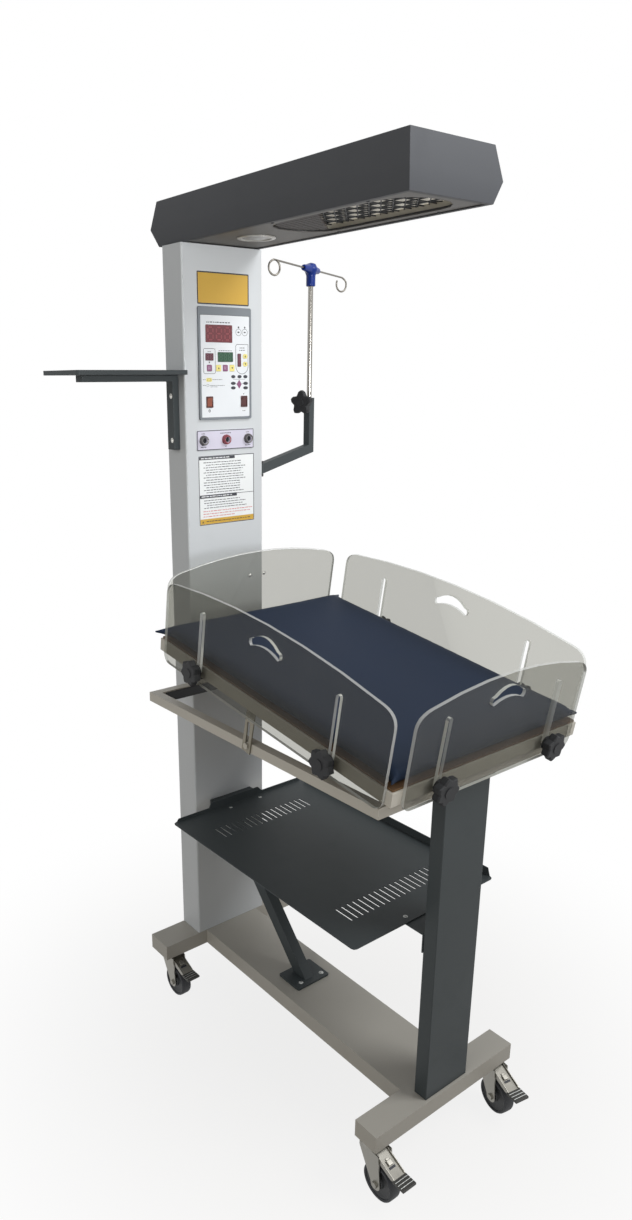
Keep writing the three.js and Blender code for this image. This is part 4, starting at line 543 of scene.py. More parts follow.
def taken_from(node, name):
    """A copy of a CAD node with its own mesh, its corners joined, left in edit mode."""
    piece = frame["nodes"][node].copy()
    piece.data = piece.data.copy()
    piece.name = piece.data.name = name
    for mark in list(piece.keys()):
        del piece[mark]
    piece.parent = None
    scene.collection.objects.link(piece)
    merge_corners(piece, 0.000005)
    return piece


def eased(node, width, segments, names=None, merged=True):
    """A CAD node with its edges broken, which stands for that node."""
    piece = taken_from(node, f"{node}_finished")
    if merged:
        bpy.ops.mesh.dissolve_limited(angle_limit=math.radians(0.6))
    bpy.ops.object.mode_set(mode="OBJECT")
    bevelled(piece, width, segments)
    smooth(piece)
    return fit(piece, body_of_node[node], *(names or [slot_of_node[node]]), slot=slot_of_node[node],
               stands_for=[node])


def carried(node):
    """A CAD node that stays, with its finish."""
    frame["nodes"][node].material_slots[0].material = finishes[slot_of_node[node]]


# ---- studio

def studio():
    """A pale floor under a white sky, and three soft lamps."""
    world = bpy.data.worlds.new("studio")
    world.use_nodes = True
    scene.world = world
    sky = Nodes(world.node_tree)
    backdrop = next(node for node in sky.tree.nodes if node.type == "BACKGROUND")
    sky.feed(backdrop.inputs["Color"], (1.0, 1.0, 1.0))
    sky.feed(backdrop.inputs["Strength"], sky.seen_directly() * 0.7 + 0.3)

    bpy.ops.object.select_all(action="DESELECT")
    bpy.ops.mesh.primitive_plane_add(size=40)
    floor = bpy.context.object
    floor.name = floor.data.name = "studio_floor"
    paint = Paint("studio_floor", Roughness=0.9, Specular_IOR_Level=0.1)
    grain = paint.noise(60.0, 3.0)
    paint.set(Base_Color=paint.mix(grain, tone(162, 154, 142), tone(172, 164, 152)))
    x, y, _ = paint.axes()
    far = paint.node("ShaderNodeMath", {"operation": "SQRT"}, x * x + y * y).ease(0.1, 1.2)
    glow = paint.tree.nodes.new("ShaderNodeEmission")
    paint.over(paint.seen_directly() * (far * 0.18 + 0.82), glow)
    floor.data.materials.append(paint.material)
    soft_lamp("key_lamp", (1.5, -2.3, 3.7), (0.0, 0.0, 0.9), 84, 1.9)
    soft_lamp("panel_lamp", (-0.15, -2.3, 1.45), (-0.08, 0.3, 1.58), 3.2, 0.5, spread=54.0)
    soft_lamp("fill_lamp", (-3.6, -0.9, 2.3), (0.0, 0.0, 1.2), 34, 2.4, (1.0, 0.98, 0.94))


scene.view_settings.view_transform = "Standard"
photo_camera()
studio()

# ---- CAD nodes with their edges broken

# Each node's bevel: its width in millimetres and its segments.
EDGES = {
    "base_frame": (2.5, 3), "column": (1.6, 3), "hood_shell": (1.4, 3), "hood_faceplate": (0.4, 2),
    "front_post": (2.5, 3), "rear_carrier": (0.9, 2), "bed_frame": (2.2, 3), "tray_frame": (1.2, 2),
    "lower_shelf": (0.7, 2), "shelf_bracket": (0.8, 2), "strut": (1.6, 3), "monitor_bracket": (1.4, 3),
    "monitor_shelf": (0.6, 2), "control_bezel": (1.0, 3), "control_membrane": (0.25, 2),
    "connector_plate": (0.4, 2), "drip_bracket": (0.8, 2), "drip_arm_tube": (1.8, 3),
    "column_rear_cover": (0.4, 2), "tray_board": (0.5, 2), "rocker_heater": (0.8, 3), "rocker_lamp": (0.8, 3),
}
eased("tilt_stay", 0.6, 2, names=["stay_steel"])
for node, (width, segments) in EDGES.items():
    eased(node, width, segments, merged=node != "base_frame")
for node in ("key_skin_set", "key_air_up", "key_air_set", "key_air_down", "key_power_up", "key_power_down"):
    eased(node, 0.5, 3)
for place in CASTERS:
    eased(f"caster_fork_{place}", 0.5, 2, names=["fork_steel"])
for node in ("reflector", "heater_element", "drip_pole"):
    carried(node)

# ---- acrylic guards


def clear_guard(node, across):
    """An acrylic panel: clear through its faces, with a painted highlight along its cut edges and slots."""
    piece = eased(node, 1.3, 2, names=["clear_acrylic", "cut_acrylic", "edge_acrylic"])
    for face in piece.data.polygons:
        slant = abs(face.normal.dot(across))
        face.material_index = 0 if slant > 0.97 else 1 if slant < 0.05 else 2


ACROSS = Vector((1, 0, 0))
ALONG = (TRAY.to_3x3() @ Vector((0, 1, 0))).normalized()
clear_guard("guard_left", ACROSS)
clear_guard("guard_right", ACROSS)
clear_guard("guard_front", ALONG)
clear_guard("guard_head", ALONG)

# ---- star knobs

for node in ("knob_left_foot", "knob_left_head", "knob_right_foot", "knob_right_head", "knob_front_left",
             "knob_front_right", "drip_knob"):
    eased(node, 1.6, 4)

# ---- mattress

# Along and across the tray, and up from it, in millimetres; the swell is in metres.
SIDE_GUARD_START, SIDE_GUARD_END = 13, 643
FRONT_GUARD_HALF_WIDTH = 219
PAD_MIDDLE, PAD_UNDERSIDE = 333.5, 30.7
PAD_REACH = 238.4
SEAM_HEIGHT, SEAM_DEPTH = 43.0, 1.6
EAR_TIP, EAR_HEIGHT = 254, 42
MOST_SWELL = 0.003


def ear(place):
    """How far a corner of the cover is drawn out, flat and pointed, in the gap between two guards."""
    across = min(1.0, max(0.0, abs(place.x) - FRONT_GUARD_HALF_WIDTH) / 12)
    along = min(1.0, max(0.0, (place.y - SIDE_GUARD_END) / 12, (SIDE_GUARD_START - place.y) / 5))
    pull = across * along
    out = min(24 * pull, max(0.0, EAR_TIP - abs(place.x)))
    forth = math.copysign(11 * pull, place.y - PAD_MIDDLE)
    return Vector((math.copysign(out, place.x), forth, (EAR_HEIGHT - place.z) * 0.5 * pull))


def mattress():
    """The pad, swollen by a cloth pass, with a sewn groove round its side and drawn-out corners."""
    pad = taken_from("mattress", "mattress_pad")
    bpy.ops.transform.shrink_fatten(value=-0.0012)
    bpy.ops.object.mode_set(mode="OBJECT")
    modify(pad, "REMESH", mode="VOXEL", voxel_size=0.005, use_smooth_shade=True)
    start = [vertex.co.copy() for vertex in pad.data.vertices]
    cloth = pad.modifiers.new("cloth", "CLOTH")
    cloth.settings.use_pressure = True
    cloth.settings.uniform_pressure_force = 4.0
    cloth.settings.effector_weights.gravity = 0.0
    cloth.point_cache.frame_start = 1
    cloth.point_cache.frame_end = 20
    for step in range(1, 21):
        scene.frame_set(step)
    only(pad)
    bpy.ops.object.modifier_apply(modifier="cloth")
    scene.frame_set(1)
    for vertex, old in zip(pad.data.vertices, start):
        shift = vertex.co - old
        if shift.length > MOST_SWELL:
            vertex.co = old + shift * (MOST_SWELL / shift.length)
    modify(pad, "SMOOTH", factor=0.5, iterations=5)
    modify(pad, "SUBSURF", levels=1, render_levels=1)
    back = TRAY.inverted()
    for vertex in pad.data.vertices:
        place = back @ vertex.co * 1000
        inward = SEAM_DEPTH * math.exp(-((place.z - SEAM_HEIGHT) / 1.3) ** 2)
        if SIDE_GUARD_START < place.y < SIDE_GUARD_END:
            side = max(0.0, abs(place.x) - 225) / 12
            place.x -= math.copysign(min(side, 1.0) * inward, place.x)
            place.x = max(-PAD_REACH, min(PAD_REACH, place.x))
        end = max(0.0, abs(place.y - PAD_MIDDLE) - 321) / 10
        place.y -= math.copysign(min(end, 1.0) * inward, place.y - PAD_MIDDLE)
        place.z = max(place.z, PAD_UNDERSIDE)
        place += ear(place)
        vertex.co = TRAY @ (place / 1000)
    smooth_all(pad)
    fit(pad, "tray", "vinyl_plain", slot="vinyl", stands_for=["mattress"])


mattress()

# ---- heater: guard wires, flange, dark slats of painted shade, lamp

low_guard, high_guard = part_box("heater_guard")
GUARD = high_guard[2] * 1000 - 2.2
SKIRT = low_guard[2] * 1000
# The opening along the hood, from the column's front: its middle, its half sizes and its rounded ends.
HEATER_MIDDLE = -391.0
HEATER_HALF_LENGTH, HEATER_HALF_WIDTH, HEATER_SHOULDER = 183.0, 70.0, 60.0
WIRE_PITCH = 28.0
WIRE_REACH = 72.0


def opening(margin, steps=14):
    """The heater opening's outline, drawn as in the CAD, grown by a margin."""
    width = HEATER_HALF_WIDTH + margin
    shoulder = HEATER_HALF_LENGTH + margin - HEATER_SHOULDER
    pull = shoulder + HEATER_SHOULDER / 0.75
    points = []
    for side in (-1, 1):
        across, near, far = side * width, HEATER_MIDDLE + side * shoulder, HEATER_MIDDLE + side * pull
        ends = [(across, near), (across, far), (-across, far), (-across, near)]
        for i in range(steps + 1):
            t = i / steps
            a, b, c, d = (1 - t) ** 3, 3 * t * (1 - t) ** 2, 3 * t * t * (1 - t), t ** 3
            points.append(tuple(a * p + b * q + c * r + d * s for p, q, r, s in zip(*ends)))
    return points


def reach_at(y, margin=2.0):
    """Half the opening's width at a place along it."""
    away = abs(y - HEATER_MIDDLE)
    if away >= HEATER_HALF_LENGTH + margin:
        return 0.0
    widths = [abs(px) for px, py in opening(margin, 60) if abs(py - y) < 6]
    if away < HEATER_HALF_LENGTH - HEATER_SHOULDER or not widths:
        return HEATER_HALF_WIDTH + margin
    return min(widths)


def heater_wires():
    wires = []
    for i in range(-6, 7):
        y = HEATER_MIDDLE + i * WIRE_PITCH
        reach = reach_at(y)
        if reach > 10:
            wires.append(rod((-reach, y, GUARD), (reach, y, GUARD), 1.3, sides=10))
    for i in range(-2, 3):
        x = i * WIRE_PITCH
        half = HEATER_HALF_LENGTH + 2.0 - HEATER_SHOULDER * (abs(x) / WIRE_REACH) ** 2.2
        ends = [(x, HEATER_MIDDLE + side * half, GUARD + 1.6) for side in (-1, 1)]
        wires.append(rod(*ends, 1.3, sides=10))
    for i in range(-8, 9):
        y = HEATER_MIDDLE + i * WIRE_PITCH
        for slant in ((1,) if i % 2 else (1, -1)):
            ends = []
            for side in (-1, 1):
                t = 1.0
                while t > 0.02:
                    ex, ey = side * WIRE_REACH * t, y + slant * side * WIRE_REACH * t
                    if abs(ex) <= reach_at(ey):
                        ends.append((ex, ey, GUARD + 0.8))
                        break
                    t -= 0.02
            if len(ends) == 2 and (Vector(ends[0]) - Vector(ends[1])).length > 30:
                wires.append(rod(*ends, 1.2, sides=10))
    lattice = join("heater_wires", wires)
    smooth(lattice, 50)
    fit(lattice, "stand", "black_paint", slot="black_paint", stands_for=["heater_guard"])
    rim = wire([(x, y, SKIRT + 1.0) for x, y in opening(1.4)], 1.6, "heater_rim", closed=True)
    smooth(rim, 50)
    fit(rim, "stand", "black_paint", slot="black_paint")
    flange = curve([opening(4.6), opening(3.4)], "heater_flange",
                   COLUMN @ Matrix.Translation((0, 0, (SKIRT + GUARD + 2) / 2000)), flat=True, fill_mode="NONE",
                   extrude=(GUARD + 2 - SKIRT) / 2000)
    modify(flange, "SOLIDIFY", thickness=0.0006, offset=0)
    smooth(flange)
    fit(flange, "stand", "galvanised", slot="zinc")
    half_trough = [(18, 1803.6), (40, 1799), (57, 1780), (74.5, 1757.6)]
    trough = [(-x, z) for x, z in half_trough[::-1]] + half_trough
    liner = curve([trough], "reflector_liner", FRONT @ Matrix.Translation((0, 0, -HEATER_MIDDLE / 1000)), closed=False,
                  extrude=0.186)
    modify(liner, "SOLIDIFY", thickness=0.0006, offset=0)
    smooth(liner, 20)
    # The liner's finish carries mirror_metal's faint painted glow.
    fit(liner, "stand", "mirror_metal", slot="mirror_metal")
    # Dark slats over the opening's part nearer the column: painted shade standing for the shadowed reflector seen
    # there.
    slats = []
    for i in range(12):
        x = -66.0 + i * 12.0
        far = HEATER_MIDDLE + 181.0 - 58.0 * (abs(x) / 74.0) ** 2.4
        near = -305.0 + 0.93 * x
        if far - near > 12:
            slats.append(box((x - 5.2, near, SKIRT + 0.8), (x + 5.2, far, SKIRT + 2.2), edge=0.4))
    painted_shade_slats = join("heater_painted_shade_slats", slats)
    smooth(painted_shade_slats)
    fit(painted_shade_slats, "stand", "element_dark", slot="black_paint")


def exam_lamp():
    """The round lamp by the column: a stepped ring, a frosted lens and its small centre."""
    low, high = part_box("exam_lamp")
    z = low[2] * 1000
    lamp = COLUMN @ Matrix.Translation((0, -0.112, 0))
    ring = turned([(29.5, z + 2.4), (29.8, z + 0.9), (31.0, z + 0.2), (36.2, z + 0.2), (37.8, z + 1.0),
                   (37.9, z + 2.5), (29.5, z + 2.5)], "lamp_ring", lamp, 96)
    smooth(ring)
    fit(ring, "stand", "lamp_lens", slot="lamp_lens", stands_for=["exam_lamp"])
    glass = turned([(0, z + 0.3), (8, z + 0.35), (18, z + 0.8), (26, z + 1.6), (29.4, z + 2.3), (29.4, z + 3.4),
                    (0, z + 3.4)], "lamp_glass", lamp, 96)
    smooth(glass)
    fit(glass, "stand", "lamp_glass", slot="lamp_lens")
    heart = turned([(0, z + 0.02), (5.0, z + 0.05), (6.4, z + 0.35), (6.4, z + 1.2), (0, z + 1.2)], "lamp_heart",
                   lamp, 40)
    smooth(heart)
    fit(heart, "stand", "zinc", slot="zinc")


heater_wires()
exam_lamp()

# ---- control panel's print

# How far the membrane stands out from the column's front, and how thick print on it is.
FACE = 4.6
PRINT = 0.12


def dashes(x0, x1, z, tall, rng, longest=9.0, gap=1.1):
    """A row of small marks, like a line of print too small to read."""
    marks, x = [], x0
    while x < x1 - 1.5:
        width = min(rng.uniform(2.2, longest), x1 - x)
        lift = rng.uniform(-0.12, 0.12) * tall
        marks.append(rounded(x, x + width, z - tall / 2 + lift, z + tall / 2 + lift, tall * 0.35, 1))
        x += width + gap * rng.uniform(0.8, 1.5)
    return marks


def arrow(x, z, size, up):
    s = 1 if up else -1
    return [(x - size * 0.7, z - s * size * 0.6), (x + size * 0.7, z - s * size * 0.6), (x, z + s * size * 0.7)][::s]


def digit_segments(x, z, wide, tall, thick, lit="abcdefg"):
    """The seven bars of a display's figure."""
    w, h, t = wide / 2, tall / 2, thick / 2
    bars = {"a": (-w, h, w, h), "g": (-w, 0, w, 0), "d": (-w, -h, w, -h), "f": (-w, h, -w, 0), "b": (w, h, w, 0),
            "e": (-w, 0, -w, -h), "c": (w, 0, w, -h)}
    shapes = []
    for name, (x0, z0, x1, z1) in bars.items():
        if name not in lit:
            continue
        if z0 == z1:
            a, b = x + x0 + t, x + x1 - t
            shapes.append([(a, z + z0), (a + t, z + z0 - t), (b - t, z + z0 - t), (b, z + z0), (b - t, z + z0 + t),
                           (a + t, z + z0 + t)])
        else:
            a, b = z + z1 + t, z + z0 - t
            shapes.append([(x + x0, a), (x + x0 + t, a + t), (x + x0 + t, b - t), (x + x0, b), (x + x0 - t, b - t),
                           (x + x0 - t, a + t)])
    return shapes


def printed(name, outlines, finish, out=FACE, slot="membrane_plastic", thickness=PRINT, body="stand"):
    """Flat print in one finish, which stands a hair above the face under it."""
    fit(plate(outlines, out, thickness, name), body, finish, slot=slot)


def panel():
    rng = random.Random(4)
    ink = ring_line(-57.0, -26.4, 1491.8, 1542.4, 4.0, 0.9)
    ink.append([(-30.6, 1542.2), (-26.6, 1542.2), (-26.6, 1538.2)])
    for radius, corner in ((16.8, [(59.9, 1551.8), (31.4, 1551.8), (28.0, 1550.8), (26.3, 1547.8), (26.3, 1508.0)]),
                           (15.9, [(59.0, 1550.9), (31.6, 1550.9), (28.7, 1550.0), (27.2, 1547.4), (27.2, 1508.0)])):
        bend = [(43.1 - radius * math.cos(math.radians(a)), 1508.0 - radius * math.sin(math.radians(a)))
                for a in range(10, 171, 10)]
        ink.append(corner + bend + [(corner[0][0], 1508.0)])
    for x in (34.5, 51.0):
        ink.append(oval(x, 1585.2, 1.9, 1.9))
        ink += [oval(x, 1575.4, 7.4, 7.0, 32), oval(x, 1575.4, 6.7, 6.3, 32)]
        ink.append(rounded(x - 2.6, x + 2.6, 1574.2, 1576.8, 1.0))
    ink.append(oval(-41.9, 1514.9, 1.6, 1.6))
    ink += dashes(-48.0, 12.0, 1593.6, 1.9, rng, 7.0)
    ink += dashes(-18.0, 17.0, 1538.2, 1.5, rng, 5.0)
    ink += dashes(-46.0, -37.0, 1536.0, 1.4, rng, 4.0)
    ink += dashes(37.0, 50.5, 1544.2, 1.6, rng, 6.0) + dashes(36.0, 51.5, 1539.6, 1.6, rng, 6.0)
    ink += dashes(-59.4, -52.0, 1480.2, 1.0, rng, 4.0) + dashes(-35.0, -7.0, 1480.4, 1.0, rng, 6.0)
    ink += dashes(-59.6, -52.0, 1468.8, 1.0, rng, 4.0) + dashes(-42.0, -3.5, 1468.6, 1.0, rng, 7.0)
    ink += dashes(-40.0, -20.0, 1465.8, 0.9, rng, 6.0)
    ink += ring_line(-50.0, -44.0, 1466.0, 1471.4, 2.4, 0.5)
    ink += [oval(-43.6, 1417.2, 2.9, 3.1), oval(-43.6, 1417.2, 1.9, 2.1)]
    ink.append(rounded(-44.1, -43.1, 1416.0, 1418.6, 0.4))
    ink += [oval(47.4, 1450.6, 1.2, 1.2)] + dashes(43.6, 51.4, 1415.8, 1.4, rng, 2.4, 0.7)
    for x, z in ((19.6, 1486.1), (36.2, 1486.1), (51.9, 1486.1), (19.4, 1472.5), (19.4, 1463.2), (52.4, 1472.3),
                 (52.4, 1463.0)):
        ink.append(oval(x, z, 5.6 if z > 1480 else 6.4, 3.4 if z > 1480 else 3.3, 20))
    printed("panel_ink", ink, "ink")
    links = [rounded(a, b, z - 0.3, z + 0.3, 0.25, 1) for a, b, z in
             ((19.4, 52.0, 1480.9), (25.0, 30.0, 1471.5), (41.0, 46.0, 1471.5))]
    printed("panel_links", links, "ink")
    diamond = [(35.1, 1480.0), (41.8, 1470.7), (35.1, 1461.4), (28.4, 1470.7)]
    printed("panel_plum", [diamond], "key_plum", out=FACE + 0.02)
    printed("panel_yellow", [rounded(-50.8, -36.0, 1476.2, 1483.8, 2.4)], "key_yellow", out=FACE - 0.03)
    printed("panel_blob_ring", ring_line(-48.4, -38.4, 1477.6, 1482.4, 2.2, 0.5), "ink", out=FACE + 0.06)
    glass = FACE + 0.82
    for name, finish, outline in (("display_main", "display_red", (-51.3, 17.3, 1554.3, 1588.9, 1.4)),
                                  ("display_skin", "display_plum", (-52.3, -31.7, 1518.3, 1532.9, 1.2)),
                                  ("display_power", "display_plum", (30.5, 40.1, 1506.2, 1532.8, 1.2)),
                                  ("display_air", "display_green", (-20.8, 18.8, 1515.8, 1535.4, 1.4))):
        printed(name, [rounded(*outline)], finish, out=glass, thickness=0.16)
    figures = []
    for i in range(3):
        figures += digit_segments(-38.5 + i * 21.6, 1571.6, 12.6, 24.0, 3.0)
    figures.append(oval(-8.5, 1558.6, 1.3, 1.3, 14))
    printed("display_main_figures", figures, "figure_red", out=glass + 0.15, thickness=0.05)
    figures = []
    for i in range(3):
        figures += digit_segments(-12.6 + i * 11.4, 1525.6, 6.2, 12.4, 1.4)
    printed("display_air_figures", figures, "figure_green", out=glass + 0.15, thickness=0.05)
    bars = [rounded(32.6, 38.0, 1508.4 + i * 2.45, 1510.0 + i * 2.45, 0.3, 1) for i in range(10)]
    figures = digit_segments(-46.9, 1525.6, 5.2, 9.6, 1.2) + digit_segments(-37.3, 1525.6, 5.2, 9.6, 1.2)
    printed("display_small_figures", bars + figures, "figure_plum", out=glass + 0.15, thickness=0.05)
    crest = COLUMN.translation.y * 1000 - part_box("key_air_up")[0][1] * 1000
    for name, x, z, up in (("key_air_up", -18.6, 1503.4, True), ("key_air_down", 16.6, 1503.4, False),
                           ("key_power_up", 51.6, 1527.4, True), ("key_power_down", 51.6, 1511.6, False)):
        printed(f"{name}_arrow", [arrow(x, z, 3.2, up)], "ink", out=crest + 0.01, slot="key_yellow", body=name,
                thickness=0.06)
    for name, x in (("key_skin_set", -42.0), ("key_air_set", -1.0)):
        marks = [mark for z in (1505.4, 1501.8) for mark in dashes(x - 3.6, x + 3.6, z, 1.2, rng, 2.6, 0.6)]
        printed(f"{name}_mark", marks, "print_pale", out=crest + 0.01, slot="key_plum", body=name, thickness=0.06)


def rocker_frames():
    """Each rocker's moulded surround, standing just proud of the membrane."""
    for name, x in (("rocker_heater", -43.1), ("rocker_lamp", 47.7)):
        ring = plate([rounded(x - 8.6, x + 8.6, 1423.4, 1446.6, 1.6), rounded(x - 6.7, x + 6.7, 1425.4, 1444.6, 0.8)],
                     FACE + 0.02, 1.4, f"{name}_surround")
        bevelled(ring, 0.4, 3)
        smooth(ring)
        fit(ring, "stand", "rocker_dark", slot="rocker_dark")


# Each label's edges on the column's front and its corners' radius.
GUIDE_LABEL = (-72.0, 77.4, 1175.4, 1323.6, 1.2)
YELLOW_LABEL = (-66.4, 65.4, 1628.0, 1690.4, 2.0)


def labels():
    rng = random.Random(11)
    sheet = plate([rounded(*GUIDE_LABEL)], 0.02, 0.22, "guide_label")
    fit(sheet, "stand", "label_white", slot="membrane_plastic")
    printed("guide_label_line", ring_line(*GUIDE_LABEL, 1.6), "ink", out=0.24, thickness=0.06)
    ink = [rounded(-70.1, 24.5, 1315.6, 1321.8, 0.4, 1), rounded(-70.1, 29.4, 1233.6, 1240.6, 0.4, 1),
           rounded(29.7, 75.5, 1238.8, 1240.0, 0.3, 1)]
    for row in range(13):
        start = -59.5 if row in (0, 2, 4, 6, 8, 9, 11) else -53.0
        ink += dashes(start, rng.uniform(34, 56), 1309.6 - row * 5.35, 1.5, rng, 10.0)
    for row in range(4):
        ink += dashes(-59.5 if row in (0, 1, 3) else -52.0, rng.uniform(36, 64), 1228.4 - row * 5.4, 1.5, rng, 10.0)
    printed("guide_label_ink", ink, "ink", out=0.24, thickness=0.06)
    bright = dashes(-66.0, 10.0, 1318.8, 2.0, rng, 12.0) + dashes(-66.0, 16.0, 1237.1, 2.0, rng, 12.0)
    printed("guide_label_heads", bright, "label_white", out=0.3, thickness=0.04)
    red = dashes(-62.0, 72.0, 1205.2, 1.5, rng, 10.0) + dashes(-62.0, 66.0, 1199.4, 1.5, rng, 10.0)
    red += dashes(-62.0, 24.0, 1193.6, 1.5, rng, 10.0)
    printed("guide_label_red", red, "print_red", out=0.24, thickness=0.06)
    strip = rounded(-70.1, 75.5, 1177.2, 1188.6, 0.4, 1)
    printed("guide_label_strip", [strip], "label_yellow", out=0.24, thickness=0.05)
    marks = dashes(-54.0, 66.0, 1182.8, 1.6, rng, 9.0) + [arrow(-63.0, 1182.4, 3.4, True)]
    printed("guide_label_strip_ink", marks, "ink", out=0.29, thickness=0.04)
    sheet = plate([rounded(*YELLOW_LABEL)], 0.02, 0.24, "yellow_label")
    fit(sheet, "stand", "label_yellow", slot="membrane_plastic")
    printed("yellow_label_line", ring_line(*YELLOW_LABEL, 2.6), "ink", out=0.26, thickness=0.05)
    printed("connector_line", ring_line(-75.0, 75.0, 1336.0, 1377.0, 1.0, 1.5), "ink", out=2.32, thickness=0.08)
    marks = dashes(-64.0, -54.0, 1370.2, 1.7, rng, 3.0, 0.6) + dashes(-66.0, -52.0, 1342.6, 1.7, rng, 4.0, 0.6)
    marks += dashes(-15.0, 15.0, 1370.2, 1.7, rng, 4.0, 0.6) + dashes(-3.0, 2.0, 1342.4, 1.7, rng, 2.4, 0.6)
    marks += dashes(54.0, 64.0, 1370.2, 1.7, rng, 3.0, 0.6) + dashes(52.0, 66.0, 1342.6, 1.7, rng, 4.0, 0.6)
    printed("connector_marks", marks, "ink", out=2.32, thickness=0.06)
    for i, (x, finish) in enumerate(((-59.0, "socket_steel"), (0.0, "socket_red"), (59.0, "socket_steel"))):
        where = FRONT @ Matrix.Translation((x / 1000, 1.3565, 0))
        ring = turned([(6.1, 2.6), (6.1, 9.4), (7.0, 9.9), (8.8, 9.9), (9.6, 9.2), (9.9, 8.0), (9.9, 3.4),
                       (10.8, 2.9), (10.8, 2.35), (6.1, 2.35)], f"socket_ring_{i}", where, 48)
        smooth(ring)
        fit(ring, "stand", finish, slot="socket_plastic")
        core = turned([(0, 3.2), (0, 5.6), (1.4, 5.9), (2.2, 5.2), (2.2, 3.6), (6.0, 3.4), (6.0, 3.0), (0, 3.0)],
                      f"socket_core_{i}", where, 32)
        smooth(core)
        fit(core, "stand", "knob_plastic", slot="knob_plastic")


panel()
rocker_frames()
labels()

# ---- casters


def casters():
    for place, (x, y, angle) in CASTERS.items():
        hub = heading(x, y, angle) @ Matrix.Translation((0.025, 0, 0.0375)) @ Matrix.Rotation(math.pi / 2, 4, "X")
        outer = [(31.0, 10.2), (32.6, 12.0), (34.6, 12.9), (36.2, 12.0), (37.2, 9.6), (37.45, 4.0)]
        profile = [(radius, -out) for radius, out in outer] + outer[::-1]
        tyre = turned(profile + profile[:1], f"tyre_{place}", hub, 72)
        smooth(tyre, 50)
        fit(tyre, f"wheel_{place}", "tyre", slot="tyre", stands_for=[f"caster_wheel_{place}"])
        outer = [(4.4, 12.6), (11.5, 12.6), (12.6, 11.4), (13.2, 8.4), (26.0, 7.2), (29.4, 9.2), (31.2, 9.9)]
        disc = [(radius, -out) for radius, out in outer] + outer[::-1]
        wheel = turned(disc + disc[:1], f"wheel_hub_{place}", hub, 72)
        smooth(wheel, 40)
        fit(wheel, f"wheel_{place}", "wheel_grey", slot="tyre")
        brake(place, heading(x, y, angle))


def brake(place, caster):
    """The pedal: a folded channel between the legs with a raised tab, and a ribbed grip at its end."""
    side = caster @ Matrix.Rotation(math.pi / 2, 4, "X")
    slope = math.atan2(19.7, 47.0)
    fold = [(11.6, 103.0), (19.0, 101.4), (66.0, 81.7), (90.0, 80.6), (90.0, 78.9), (65.4, 79.6), (18.4, 99.4),
            (11.8, 101.0)]
    flank = [(9.4, 98.6), (11.4, 103.4), (16.0, 106.0), (22.0, 104.6), (64.0, 86.4), (69.0, 83.0), (69.0, 78.8),
             (60.0, 77.6), (20.0, 93.0), (14.0, 92.8)]
    web = plate([fold], -13.6, 27.2, f"brake_web_{place}", side)
    walls = [plate([flank], out, 1.6, f"brake_wall_{place}", side) for out in (-15.1, 13.5)]
    pressed = join(f"brake_{place}", [bevelled(web, 0.3, 2)] + [bevelled(wall, 0.4, 2) for wall in walls])
    smooth(pressed)
    fit(pressed, f"pedal_{place}", "fork_steel", slot="zinc", stands_for=[f"caster_pedal_{place}"])
    on_web = caster @ Matrix.Translation((0.0425, 0, 0.0916)) @ Matrix.Rotation(slope, 4, "Y")
    tab = box((-6.0, -5.4, 0.2), (4.0, 5.4, 3.8), "tab", on_web, 0.8, 3)
    lip = box((-10.5, -3.6, 0.2), (-5.0, 3.6, 2.2), "lip", on_web, 0.5, 2)
    raised = join(f"brake_tab_{place}", [tab, lip])
    smooth(raised)
    fit(raised, f"pedal_{place}", "fork_steel", slot="zinc")
    # A thin dark plate on the web: painted shade where the pedal's slot would show.
    slot = box((5.4, -7.6, 0.12), (9.6, 7.6, 0.5), f"brake_slot_painted_shade_{place}", on_web, 0.1, 1)
    fit(slot, f"pedal_{place}", "ink", slot="black_paint")
    grip = box((66.5, -17.0, 76.4), (94.6, 17.0, 81.6), f"brake_grip_{place}", caster, 1.2, 3)
    smooth(grip)
    fit(grip, f"pedal_{place}", "pad_rubber", slot="tyre")
    ribs = [rod((x, -16.4, 81.5), (x, 16.4, 81.5), 0.95, sides=12, where=caster, edge=0.3, segments=1)
            for x in (73.5, 80.5, 87.5)]
    lines = join(f"brake_ribs_{place}", ribs)
    smooth(lines, 50)
    fit(lines, f"pedal_{place}", "zinc", slot="zinc")


casters()

# ---- drip stand

DRIP_HEAD = ARM @ Matrix.Translation((0.213, 0, 1.7254)) @ Matrix.Rotation(math.radians(9), 4, "Z")


def drip_hooks():
    """One chrome wire: level through the cap, then each end curls down and back."""
    def half(reach, bend, turn):
        points = [(0, 0, 0), (20, 0, 0), (98, 0, 0)]
        for i in range(49):
            angle = math.radians(turn * i / 48)
            out, drop = bend * math.sin(angle), bend * (math.cos(angle) - 1)
            twist = math.radians(-26) * min(1, angle)
            points.append((reach + out * math.cos(twist), out * math.sin(twist), drop))
        return points
    right = half(198.5, 16.6, 300)
    left = [(-x, -y, z) for x, y, z in half(202.0, 15.4, 332)[:0:-1]]
    hooks = wire(left + right, 2.15, "drip_hook_wire", DRIP_HEAD, sides=4)
    smooth(hooks, 50)
    fit(hooks, "drip_head", "hook_steel", slot="chrome", stands_for=["drip_hooks"])


def drip_cap():
    """The moulded tee: two tapered arms blended into a waisted neck."""
    cap = eased("drip_cap", 0.6, 2)
    modify(cap, "REMESH", mode="VOXEL", voxel_size=0.0011, use_smooth_shade=True)
    modify(cap, "SMOOTH", factor=0.5, iterations=14)
    smooth_all(cap)
    dress(cap, "blue_plastic")


drip_hooks()
drip_cap()

# ---- screws and small fittings


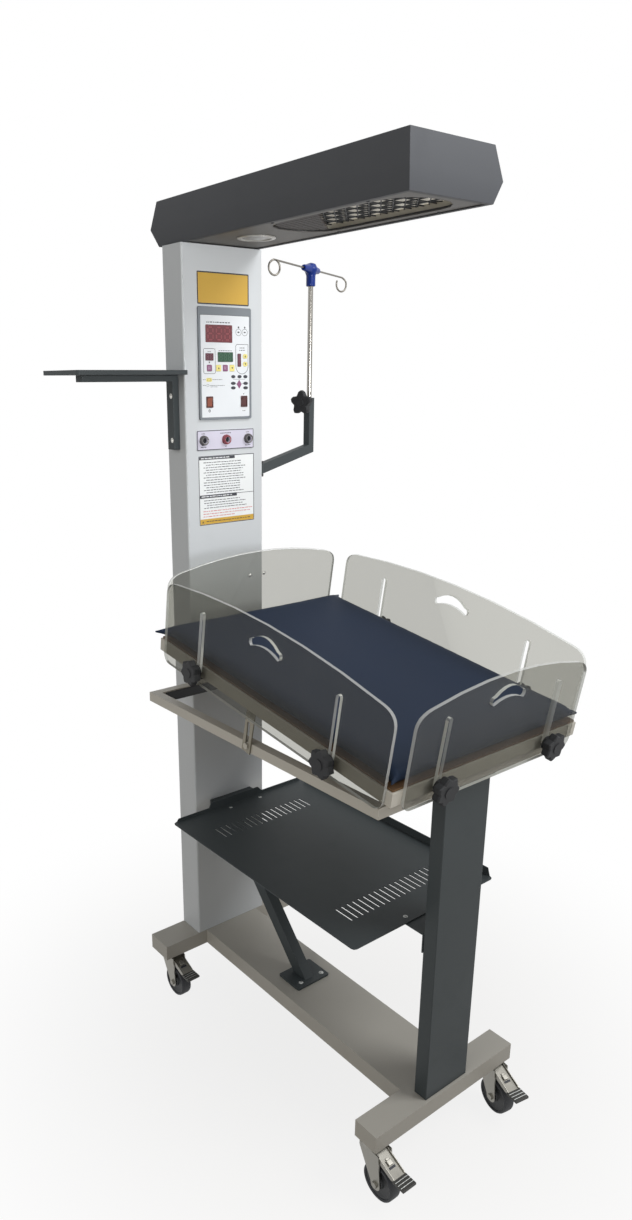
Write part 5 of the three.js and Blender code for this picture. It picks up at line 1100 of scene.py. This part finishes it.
def pan_screw(name, where, r, finish="zinc", body="stand"):
    """A pan head of radius r with its washer and a dark cross of painted shade where its recess is, its axis along the
    frame's z.
    """
    head = turned([(0, r * 0.5), (r * 0.42, r * 0.47), (r * 0.78, r * 0.32), (r * 0.97, r * 0.12), (r, 0.05),
                   (r * 1.35, 0.05), (r * 1.35, -0.3), (0, -0.3)], name, where, 32)
    smooth(head, 40)
    b, a = 0.6 * r, 0.11 * r
    half = [(-b, -a), (-a, -a), (-a, -b), (a, -b), (a, -a), (b, -a)]
    # No recess is cut: a flat dark cross of painted shade stands where it would be.
    painted_recess_shade = plate([half + [(-x, -y) for x, y in half]], r * 0.44, 0.12, f"{name}_cross", where)
    dress(head, finish)
    dress(painted_recess_shade, "ink")
    whole = join(name, [head, painted_recess_shade])
    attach(whole, body)


def facing(x, y, z, towards):
    """A frame at a column-frame point whose z axis looks along a direction."""
    turn = Vector(towards).to_track_quat("Z", "Y").to_matrix().to_4x4()
    return COLUMN @ Matrix.Translation((x / 1000, y / 1000, z / 1000)) @ turn


def fittings():
    face_z = 1742.8
    for i, (x, y) in enumerate(((-80, -261), (-80, -498), (84, -256), (84, -498))):
        pan_screw(f"faceplate_screw_{i}", facing(x, y, face_z, (0, 0, -1)), 3.2, "black_paint")
    for i, z in enumerate((1448.0, 1358.0)):
        pan_screw(f"monitor_screw_{i}", facing(-117.3, 30.0, z, (-1, 0, 0)), 3.8, "bright_zinc")
    for i, (x, y) in enumerate(((44, -63), (-44, -63), (46, -624), (-46, -624))):
        pan_screw(f"shelf_screw_{i}", facing(x, y, 510.6, (0, 0, 1)), 3.4)
    for i, (x, y) in enumerate(((-26, -304.5), (34.6, -306))):
        pan_screw(f"strut_screw_{i}", facing(x, y, 156.3, (0, 0, 1)), 4.2)
    for i, (z, x) in enumerate((z, x) for z in (200, 700, 1200, 1690) for x in (-86, 86)):
        pan_screw(f"cover_screw_{i}", facing(x, 71.8, z, (0, 1, 0)), 3.2)
    for i, x in enumerate((-19.0, 19.0)):
        where = TRAY @ Matrix.Translation((x / 1000, 0.6673, 0.131)) @ Matrix.Rotation(math.pi / 2, 4, "X")
        pan_screw(f"head_guard_screw_{i}", where, 3.0, "bright_zinc", "tray")
    for i, z in enumerate((1262.0, 1306.0)):
        pan_screw(f"bracket_screw_{i}", facing(106.3, 35.0, z, (1, 0, 0)), 3.4)


fittings()
